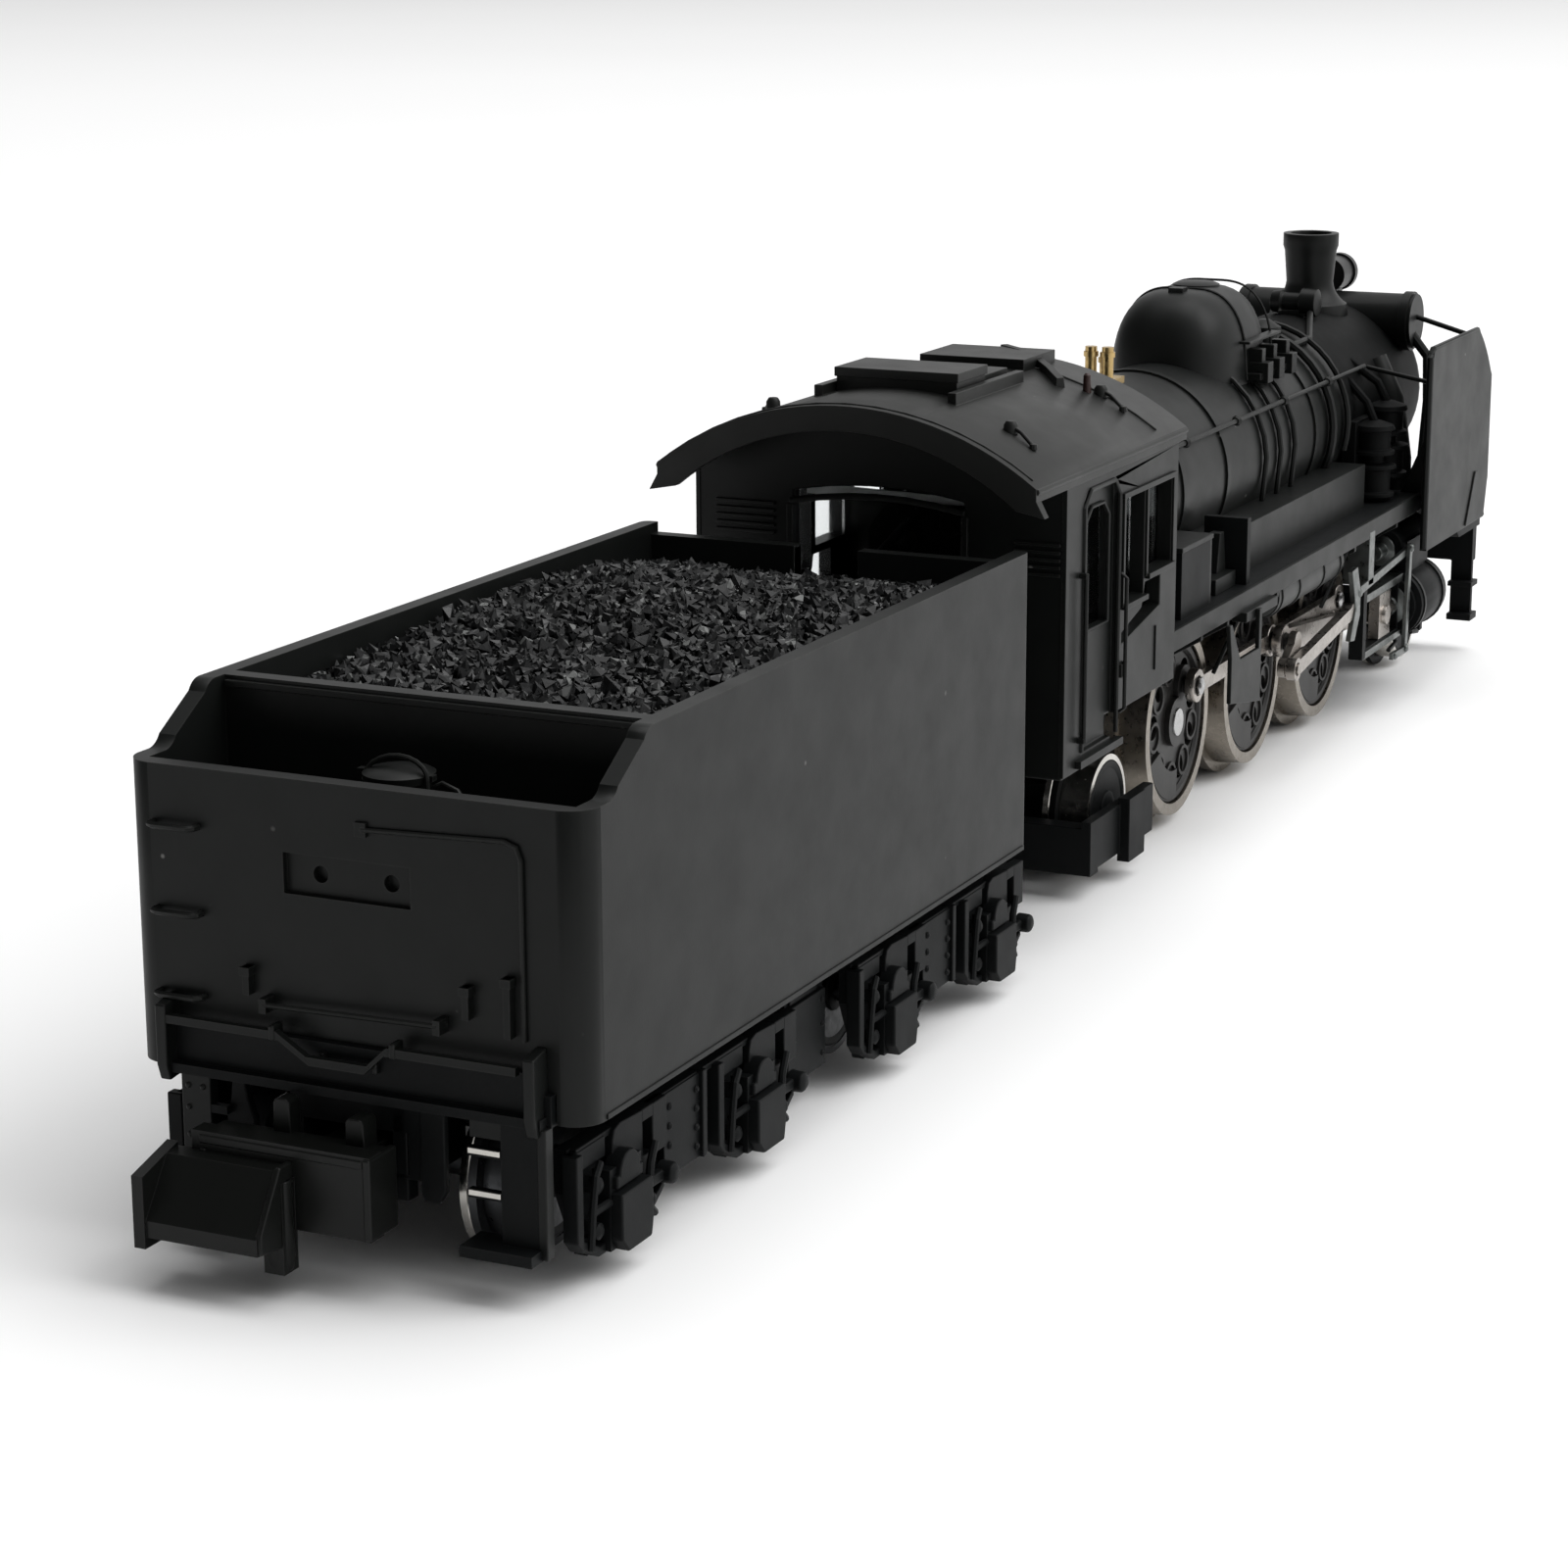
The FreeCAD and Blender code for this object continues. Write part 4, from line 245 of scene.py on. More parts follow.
# painted light: an opaque near-white strip standing in for the light seen through the cab's front windows
WINDOW_LIGHT_PAINT = finish_of("painted window light", (0.85, 0.87, 0.86), 0.2, specular=0.6, variation=0.08, grain=(6.0, 0.1))
LENS = finish_of("lamp lens", (0.35, 0.36, 0.36), 0.08, specular=0.7, variation=0.05, grain=(3.0, 0.05))
PEG = finish_of("red brown peg", (0.03, 0.014, 0.012), 0.4, variation=0.2, grain=(8.0, 0.1))
VALVE_GEAR = turned_metal("dull valve gear metal", (0.16, 0.17, 0.165), 0.34, "x")
ROD = turned_metal("nickel rod metal", (0.4, 0.37, 0.34), 0.3, "x")
DULL_TYRE = turned_metal("dull wheel metal", (0.06, 0.062, 0.065), 0.34, "y")
TYRE = turned_metal("nickel tyre", (0.3, 0.27, 0.23), 0.3, "y")
RIM = turned_metal("bright wheel rim", (0.62, 0.6, 0.56), 0.2, "y")
STEEL = turned_metal("bright steel", (0.5, 0.5, 0.5), 0.28, "x")
BRASS = turned_metal("valve brass", (0.5, 0.36, 0.16), 0.32, "z")
COAL = coal_material()
GLAZING = glazing_material()

LOOKS = {
    "satin_black_plastic": SATIN, "matt_black_plastic": MATT, "coupler_black": HOOK, "coal_black": COAL,
    "cast_metal": CAST, "rod_metal": ROD, "nickel_tyre": TYRE, "wheel_centre_black": WHEEL,
    "dark_wheel_metal": MATT, "steel": STEEL, "brass": BRASS, "valve_brass": BRASS, "gear_plastic": ACETAL,
    "lamp_black": LAMP, "clear_glazing": GLAZING, "motor_steel": STEEL, "board_green": BOARD,
}
SLOT_OF = {part["node"]: part["material_slot"] for part in frame["record"]["subparts"]}
for name, item in frame["nodes"].items():
    look = LOOKS[SLOT_OF[name]]
    if name == "cab_roof":
        look = ROOF
    elif "bogie" in name and "wheelset" in name:
        look = DULL_TYRE
    item.data.materials.clear()
    item.data.materials.append(look)


# ---- building blocks

def add_object(name, data):
    item = bpy.data.objects.new(name, data)
    bpy.context.collection.objects.link(item)
    return item


def round_corners(item, width, segments, angle):
    """Small rounds on edges sharper than an angle in degrees."""
    rounds = item.modifiers.new("rounds", "BEVEL")
    rounds.width = width * MM
    rounds.segments = segments
    rounds.limit_method = "ANGLE"
    rounds.angle_limit = math.radians(angle)
    rounds.harden_normals = True


# small rounds on the edges of CAD nodes, as a moulding has: width, then which nodes
CAD_ROUNDS = {
    0.3: "backhead", 0.14: "tender_body", 0.1: "cab_roof rear_coupler", 0.08: "cab_shell smoke_deflectors",
    0.06: "running_boards cylinder_block", 0.04: "crosshead_right crosshead_left",
    0.05: "tender_underframe rear_bogie_frame front_bogie_frame chimney pilot_beam trailing_truck_frame "
          "coupling_rod_right coupling_rod_left main_rod_right main_rod_left",
}
for name, width in ((name, width) for width, names in CAD_ROUNDS.items() for name in names.split()):
    item = frame["nodes"][name]
    item.modifiers.new("weld", "WELD").merge_threshold = 0.002 * MM
    round_corners(item, width, 2, 32)


def point_on(axis, along, u, v):
    """The point at a place along an axis, with the other two coordinates in order."""
    return {"x": (along, u, v), "y": (u, along, v), "z": (u, v, along)}[axis]


def on_circle(axis, centre, along, radius, turn):
    return point_on(axis, along, centre[0] + radius * math.cos(turn), centre[1] + radius * math.sin(turn))


def full_turn(steps):
    return [2 * math.pi * index / steps for index in range(steps)]


class Piece:
    """Geometry gathered in millimetres, made into one named object that moves with a CAD body."""

    def __init__(self, name, look, body="locomotive", bevel=0.05, segments=2):
        self.name, self.look, self.body = name, look, body
        self.bevel, self.segments = bevel, segments
        self.mesh = bmesh.new()

    def points(self, corners):
        return [self.mesh.verts.new(Vector(corner) * MM) for corner in corners]

    def block(self, x, y, z):
        x, y, z = sorted(x), sorted(y), sorted(z)
        corners = self.points([(x[i], y[j], z[k]) for k in (0, 1) for j in (0, 1) for i in (0, 1)])
        for face in ((0, 2, 3, 1), (4, 5, 7, 6), (0, 1, 5, 4), (2, 6, 7, 3), (0, 4, 6, 2), (1, 3, 7, 5)):
            self.mesh.faces.new([corners[index] for index in face])
        return self

    def skin(self, rings, caps=True):
        """Faces between successive rings of points, with the two ends closed."""
        rings = [self.points(ring) for ring in rings]
        count = len(rings[0])
        for first, second in zip(rings, rings[1:]):
            for index in range(count):
                after = (index + 1) % count
                self.mesh.faces.new((first[index], first[after], second[after], second[index]))
        if caps:
            self.mesh.faces.new(rings[0][::-1])
            self.mesh.faces.new(rings[-1])
        return self

    def prism(self, axis, outline, span):
        """An outline in the plane across an axis, carried along it."""
        return self.skin([[point_on(axis, along, u, v) for u, v in outline] for along in span])

    def lathe(self, axis, centre, profile, steps=28):
        """(along, radius) points turned about an axis; centre holds the other two coordinates."""
        return self.skin([[on_circle(axis, centre, along, max(radius, 0.01),
                                     turn) for turn in full_turn(steps)]
                          for along, radius in profile])

    def ring(self, axis, centre, profile, steps=48):
        """A closed (along, radius) section turned about an axis."""
        turns = full_turn(steps)
        return self.skin([[on_circle(axis, centre, *point, turn) for point in profile]
                          for turn in turns + turns[:1]], caps=False)

    def wire(self, path, radius, sides=8):
        """A round wire along a path of points."""
        path = [Vector(point) for point in path]
        rings = []
        across = None
        for index, point in enumerate(path):
            before, after = path[max(index - 1, 0)], path[min(index + 1, len(path) - 1)]
            ahead = (after - before).normalized()
            if across is None:
                across = ahead.orthogonal().normalized()
            across = (across - ahead * across.dot(ahead)).normalized()
            other = ahead.cross(across)
            rings.append([point + (across * math.cos(turn) + other * math.sin(turn)) * radius
                          for turn in full_turn(sides)])
        return self.skin(rings)

    def studs(self, axis, places, radius=0.12, height=0.09, outward=1):
        """Rivet heads whose feet stand at places."""
        for place in places:
            where = dict(zip("xyz", place))
            foot = where.pop(axis)
            profile = [(foot - outward * 0.05, radius), (foot + outward * height * 0.4, radius * 0.95),
                       (foot + outward * height, radius * 0.5)]
            self.lathe(axis, list(where.values()), profile, 10)
        return self

    def both(self):
        """Repeat everything so far on the other side."""
        source = list(self.mesh.verts) + list(self.mesh.edges) + list(self.mesh.faces)
        copies = bmesh.ops.duplicate(self.mesh, geom=source)["geom"]
        verts = [item for item in copies if isinstance(item, bmesh.types.BMVert)]
        bmesh.ops.scale(self.mesh, vec=(1, -1, 1), verts=verts)
        return self

    def done(self, smooth=35):
        bmesh.ops.remove_doubles(self.mesh, verts=self.mesh.verts, dist=0.0005 * MM)
        bmesh.ops.recalc_face_normals(self.mesh, faces=self.mesh.faces)
        mesh = bpy.data.meshes.new(self.name)
        self.mesh.to_mesh(mesh)
        self.mesh.free()
        mesh.shade_smooth()
        mesh.set_sharp_from_angle(angle=math.radians(smooth))
        mesh.materials.append(self.look)
        item = add_object(self.name, mesh)
        if self.bevel:
            round_corners(item, self.bevel, self.segments, 40)
        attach(item, self.body)
        return item


def arc(centre, radius, start, end, steps=10):
    """(u, v) points on an arc, angles in degrees."""
    turns = [math.radians(start + (end - start) * index / steps) for index in range(steps + 1)]
    return [(centre[0] + radius * math.cos(turn), centre[1] + radius * math.sin(turn)) for turn in turns]


# ---- coal

# (x, z) of the heap's top along the middle
HEAP = [(-50.29, 17.75), (-31.75, 18.75), (-23.75, 18.35), (-17.76, 17.25)]


def heap_height(x, y):
    """Top of the moulded heap under a point."""
    height = HEAP[-1][1]
    for (x0, z0), (x1, z1) in zip(HEAP, HEAP[1:]):
        if x0 <= x <= x1:
            height = z0 + (z1 - z0) * (x - x0) / (x1 - x0)
    edge = max(abs(y) - 7.55, 0)
    return height - (0.8 - math.sqrt(max(0.64 - edge * edge, 0)))


def make_coal():
    """Crushed grains over the whole heap, each a small jagged lump."""
    grain_count = 9000
    rear_x, front_x, side_y = -50.25, -17.85, 8.34  # no grain passes these
    verts, faces = [], []
    mound = [(random.uniform(-49, -19), random.uniform(-7, 7), random.uniform(0.1, 0.55)) for _ in range(26)]
    corners = ((1, 0, 0), (-1, 0, 0), (0, 1, 0), (0, -1, 0), (0, 0, 1), (0, 0, -1))
    sides = ((0, 2, 4), (2, 1, 4), (1, 3, 4), (3, 0, 4), (2, 0, 5), (1, 2, 5), (3, 1, 5), (0, 3, 5))
    for _ in range(grain_count):
        x, y = random.uniform(-50.1, -17.95), random.uniform(-8.2, 8.2)
        size = random.uniform(0.16, 0.34)
        size *= 1.0 if random.random() < 0.9 else 1.35
        lift = sum(high * math.exp(-((x - mx) ** 2 + (y - my) ** 2) / 3.5) for mx, my, high in mound)
        lift *= max(0.0, 1 - max(abs(y) - 6.2, 0) / 2.0)
        z = heap_height(x, y) + 0.35 * lift + random.uniform(-0.1, 0.22)
        first = len(verts)
        for corner in corners:
            stretch = Vector([value * random.uniform(0.55, 1.15) + random.uniform(-0.35, 0.35)
                              for value in corner])
            spin = (x * 37.1 + y * 91.7) % 6.283
            turned = Matrix.Rotation(spin, 3, Vector((0.6, 0.3, 0.74))) @ stretch
            point = Vector((x, y, z)) + turned * size
            point.y = max(min(point.y, side_y), -side_y)
            point.x = max(min(point.x, front_x), rear_x)
            verts.append(point * MM)
        faces += [tuple(first + index for index in side) for side in sides]
    mesh = bpy.data.meshes.new("coal_grains")
    mesh.from_pydata(verts, [], faces)
    mesh.validate()
    mesh.materials.append(COAL)
    grains = add_object("coal_grains", mesh)
    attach(grains, "tender")


# ---- tender

def make_tender_rear():
    """Grab irons, hatch outline, lamp irons, beam ends, ladders and the fittings behind the bunker."""
    rear = TENDER_REAR_X
    irons = Piece("tender_rear_rails", SATIN, "tender", bevel=0)
    for z in (15.2, 12.1, 9.1):
        irons.wire([(rear + 0.2, 7.85, z), (rear - 0.3, 7.82, z), (rear - 0.42, 7.6, z),
                    (rear - 0.42, 6.2, z), (rear - 0.3, 6.03, z), (rear + 0.2, 6.0, z)], 0.12)
    irons.wire([(rear + 0.1, -0.55, 15.85), (rear - 0.09, -0.62, 15.85), (rear - 0.09, -6.1, 16.05),
                (rear - 0.09, -6.55, 15.9), (rear - 0.09, -6.72, 15.45), (rear - 0.09, -6.72, 9.2)], 0.09)
    irons.wire([(rear - 0.1, 3.4, 9.3), (rear - 0.5, 3.3, 9.3), (rear - 0.5, -3.6, 9.45),
                (rear - 0.1, -3.7, 9.45)], 0.1)
    for y, z in ((3.3, 9.3), (-3.6, 9.45)):
        irons.block((rear - 0.58, rear + 0.05), (y - 0.14, y + 0.14), (z - 0.3, z + 0.22))
    for y, low, high in ((4.1, 9.5, 10.5), (-4.6, 9.75, 10.9), (-6.2, 9.3, 11.4)):
        irons.block((rear - 0.34, rear + 0.05), (y - 0.13, y + 0.13), (low, high))
        irons.block((rear - 0.42, rear + 0.05), (y - 0.2, y + 0.2), (high - 0.3, high))
    irons.block((rear - 0.14, rear + 0.05), (-0.8, -0.35), (15.6, 16.1))
    irons.done()
    ends = Piece("rear_beam_ends", SATIN, "tender", bevel=0.07)
    for y in (7.3, -7.3):
        ends.prism("y", [(rear - 0.95, 8.9), (rear, 9.1), (rear + 0.1, 6.2), (rear - 0.75, 6.1),
                         (rear - 0.95, 6.7)],
                   (y - 0.22, y + 0.22))
    for y in (2.75, -2.05):
        ends.block((rear - 0.95, rear - 0.3), (y - 0.12, y + 0.12), (8.2, 8.75))
    for y in (1.0, -1.1):
        ends.block((rear - 0.55, rear - 0.2), (y - 0.1, y + 0.1), (7.4, 7.9))
    ends.done()
    plates = Piece("ladder_plates", SATIN, "tender", bevel=0.05)
    plates.block((rear - 0.62, rear - 0.1), (-7.75, -7.4), (1.75, 6.4))
    plates.block((rear - 0.45, rear - 0.05), (-6.3, -4.7), (5.7, 6.5))
    plates.block((rear - 0.62, rear - 0.15), (5.55, 6.75), (2.3, 6.5))
    plates.studs("x", [(rear - 0.62, y, z) for y, z in ((6.45, 6.0), (6.45, 5.2), (5.85, 6.0), (6.45, 4.2))],
                 outward=-1)
    plates.done()
    rungs = Piece("ladder_rungs", RIM, "tender", bevel=0.03)
    for z in (3.62, 5.12):
        rungs.block((rear - 0.68, rear - 0.61), (-6.0, -4.75), (z + 0.08, z + 0.3))
    rungs.done()
    hangers = Piece("rear_hangers", MATT, "tender", bevel=0.08)
    hangers.prism("x", [(3.95, 3.9), (5.1, 3.9), (5.15, 5.0), (4.95, 5.6), (4.85, 6.4), (4.35, 6.4),
                        (4.2, 5.6), (3.95, 5.0)], (rear - 0.3, rear + 0.05))
    hangers.block((rear - 0.1, rear + 0.6), (-2.05, -1.45), (2.8, 6.4))
    hangers.prism("x", [(-2.6, 6.4), (-3.6, 6.4), (-3.6, 3.4), (-3.3, 2.95), (-2.75, 2.95), (-2.6, 3.3)],
                  (rear - 0.2, rear + 0.1))
    hangers.done()
    wires = Piece("hatch_wires", SATIN, "tender", bevel=0)
    hoop = [(-53.6 + 0.25 * math.sin(turn), -0.2 + 1.25 * math.cos(turn), 16.9 + 0.75 * math.sin(turn))
            for turn in (math.pi * step / 10 for step in range(11))]
    wires.wire([(hoop[0][0], hoop[0][1], 15.7)] + hoop + [(hoop[-1][0], hoop[-1][1], 15.7)], 0.09)
    wires.wire([(-53.2, -1.0, 16.4), (-53.0, -1.7, 16.75), (-53.2, -2.4, 16.6), (-53.4, -2.9, 16.1),
                (-53.4, -3.0, 15.7)], 0.09)
    wires.lathe("z", (-53.2, -0.1), [(16.8, 1.25), (17.05, 1.28), (17.15, 1.1), (17.3, 0.4)])
    wires.done()
    trim = Piece("tender_deck_trim", SATIN, "tender", bevel=0.05)
    trim.block((-56.3, -50.85), (-8.42, -8.2), (15.6, 15.9)).both()
    trim.block((-51.2, -50.95), (-8.3, 8.3), (18.85, 19.1))
    trim.block((-17.75, -17.0), (-1.75, -1.5), (15.5, 18.75)).both()
    trim.done()


def make_coupler_details():
    """The hook's sloping face, drop peg and catch plate, and the two posts behind it."""
    hook = Piece("coupler_hook", HOOK, "rear_hook", bevel=0.08, segments=3)
    hook.prism("y", [(-61.35, 2.05), (-59.15, 1.75), (-59.15, 4.75), (-60.05, 4.75), (-61.35, 2.75)],
               (0.85, 1.1))
    hook.lathe("z", (-59.65, 1.2), [(0.8, 0.2), (0.95, 0.42), (1.4, 0.5), (4.2, 0.5)], 20)
    hook.block((-59.35, -57.7), (-1.95, 4.6), (4.85, 5.2))
    hook.prism("x", [(4.55, 4.7), (4.95, 3.9), (4.95, 2.5), (4.7, 2.3), (4.3, 2.3), (4.3, 4.7)],
               (-59.4, -58.4))
    hook.block((-59.4, -57.6), (-2.25, -1.95), (2.35, 5.25))
    hook.done()
    posts = Piece("coupler_posts", HOOK, "rear_hook", bevel=0.06)
    posts.prism("x", [(1.7, 4.8), (2.45, 4.8), (2.4, 6.25), (2.25, 6.4), (1.9, 6.4), (1.75, 6.25)],
                (-58.0, -57.3))
    posts.prism("x", [(-1.35, 4.6), (-0.55, 4.6), (-0.6, 6.0), (-0.7, 6.15), (-1.2, 6.15), (-1.3, 6.0)],
                (-58.2, -57.3))
    posts.done()


def make_bogie_sides(end, centre):
    """Side plates with slots, axleboxes, hooks, spring straps and riveted centre plates on a bogie."""
    body = f"tender_{end}_bogie"
    face = -7.65
    plates = Piece(f"{end}_bogie_plates", MATT, body, bevel=0.06)
    boxes = Piece(f"{end}_bogie_boxes", MATT, body, bevel=0.08)
    straps = Piece(f"{end}_bogie_straps", MATT, body, bevel=0)
    for axle in (centre - BOGIE_HALF_BASE, centre + BOGIE_HALF_BASE):
        near = axle + 0.1
        plates.prism("y", [(near - 0.5, 3.3), (near + 1.75, 3.3), (near + 1.75, 5.2), (near + 0.1, 5.3),
                           (near - 0.35, 5.15), (near - 0.5, 4.8)], (face, -8.12))
        plates.prism("y", [(near + 2.5, 3.3), (near + 3.6, 3.3), (near + 3.6, 5.2), (near + 2.5, 5.2)],
                     (face, -8.12))
        plates.block((near + 1.7, near + 2.55), (face, -8.12), (4.75, 5.22))
        plates.block((near + 1.7, near + 2.55), (face, -8.12), (2.1, 3.5))
        plates.block((axle - 3.1, axle - 0.7), (face, -8.0), (4.35, 5.1))
        plates.prism("y", [(axle - 3.2, 5.1), (axle - 3.2, 2.0), (axle - 2.75, 1.5), (axle - 2.75, 5.1)],
                     (face, -8.25))
        plates.prism("y", [(axle - 2.8, 1.7), (axle - 1.6, 1.0), (axle + 1.9, 1.0), (axle + 3.3, 1.9),
                           (axle + 3.3, 2.2), (axle + 1.8, 1.35), (axle - 1.5, 1.35), (axle - 2.8, 2.0)],
                     (face, -8.2))
        boxes.prism("y", [(axle - 1.1, 3.15), (axle - 1.1, 1.5), (axle - 0.6, 0.95), (axle + 1.1, 0.95),
                          (axle + 1.25, 1.6), (axle + 1.2, 3.15)], (-7.9, -8.85))
        boxes.prism("y", [(axle - 0.95, 3.25), (axle + 0.95, 3.25), (axle + 0.95, 3.7)]
                    + arc((axle, 3.7), 0.75, 0, 180, 8) + [(axle - 0.95, 3.7)], (-7.9, -8.6))
        boxes.block((near + 1.5, near + 3.1), (-8.1, -8.45), (2.35, 2.75))
        boxes.lathe("y", (near + 3.0, 2.55), [(-8.1, 0.42), (-8.7, 0.4), (-8.8, 0.2)], 14)
        boxes.lathe("y", (near + 1.7, 1.95), [(-8.1, 0.32), (-8.5, 0.3), (-8.6, 0.1)], 12)
        straps.wire([(near + 2.3, -8.3, 3.9), (near + 1.75, -8.4, 3.3), (near + 1.5, -8.45, 2.5),
                     (near + 1.7, -8.4, 1.7), (near + 2.2, -8.3, 1.3)], 0.15)
        straps.wire([(axle - 1.3, -8.1, 4.3), (axle - 1.9, -8.25, 4.0), (axle - 2.2, -8.3, 3.0),
                     (axle - 2.3, -8.25, 1.5)], 0.14)
        straps.wire([(axle - 2.2, -8.2, 2.75), (axle - 1.1, -8.35, 2.85)], 0.15)
        for z in (3.65, 2.0):
            straps.lathe("y", (axle - 1.75, z), [(-7.6, 0.3), (-8.3, 0.3), (-8.4, 0.15)], 12)
    for piece in (plates, boxes, straps):
        piece.both().done()
    middle = Piece(f"{end}_bogie_centre", MATT, body, bevel=0.05)
    middle.block((centre - 1.75, centre + 1.2), (face, -8.02), (1.95, 5.15))
    middle.block((centre + 1.0, centre + 1.35), (face, -8.2), (1.95, 5.25))
    middle.studs("y",
                 [(centre + dx, -8.02, 2.45 + 0.72 * step) for dx in (-1.35, 0.75) for step in range(4)],
                 0.15, 0.12, -1)
    middle.block((centre - 8.1, centre + 8.1), (face, -7.95), (4.95, 5.2))
    middle.both().done()


def make_wheel_rims():
    """Treads, flange edges and discs of the small wheels."""
    places = {}
    for end, centre in BOGIES.items():
        places[f"{end}_bogie_rear_wheels"] = centre - BOGIE_HALF_BASE
        places[f"{end}_bogie_front_wheels"] = centre + BOGIE_HALF_BASE
    places.update(pony_wheels=53.4, trailing_wheels=2.0)
    for body, x in places.items():
        middle = (x, SMALL_WHEEL_Z)
        tread = Piece(f"{body}_treads", DULL_TYRE if "bogie" in body else RIM, body, bevel=0)
        tread.ring("y", middle, [(-4.33, 2.68), (-4.33, 2.73), (-5.72, 2.67), (-5.74, 2.4), (-5.68, 2.4),
                                 (-5.68, 2.62)])
        tread.both().done()
        flange = Piece(f"{body}_flanges", RIM, body, bevel=0)
        flange.ring("y", middle, [(-3.68, 2.9), (-3.66, 3.22), (-3.95, 3.24), (-4.1, 3.05), (-3.9, 2.9)])
        flange.both().done()
        disc = Piece(f"{body}_discs", MATT, body, bevel=0.03)
        disc.ring("y", middle, [(-5.66, 2.4), (-5.74, 2.3), (-5.7, 2.0), (-5.6, 1.8), (-5.6, 2.4)])
        disc.lathe("y", middle, [(-5.65, 0.95), (-5.8, 0.9), (-5.88, 0.6)], 16)
        disc.both().done()


def make_tender_underside():
    """The block between the bogies, and the bead along the body's lower edge."""
    under = Piece("underframe_fittings", MATT, "tender", bevel=0.06)
    under.block((-36.9, -33.45), (-7.15, -6.4), (1.45, 4.6))
    under.block((-36.4, -33.9), (-7.0, -6.4), (4.6, 6.5))
    under.studs("y", [(x, -7.15, z) for x in (-36.4, -33.8) for z in (2.0, 3.2, 4.2)], 0.12, 0.1, -1)
    under.both().done()
    skirt = Piece("tender_lower_bead", SATIN, "tender", bevel=0.03)
    skirt.block((-55.3, -17.5), (-9.16, -9.0), (6.42, 6.62))
    skirt.both().done()


# ---- locomotive

def roof_height(y):
    """Top of the arched roof at a distance from its centre line."""
    radius = (8.95 ** 2 + 3.0 ** 2) / 6.0
    return 24.7 - radius + math.sqrt(radius ** 2 - y ** 2)


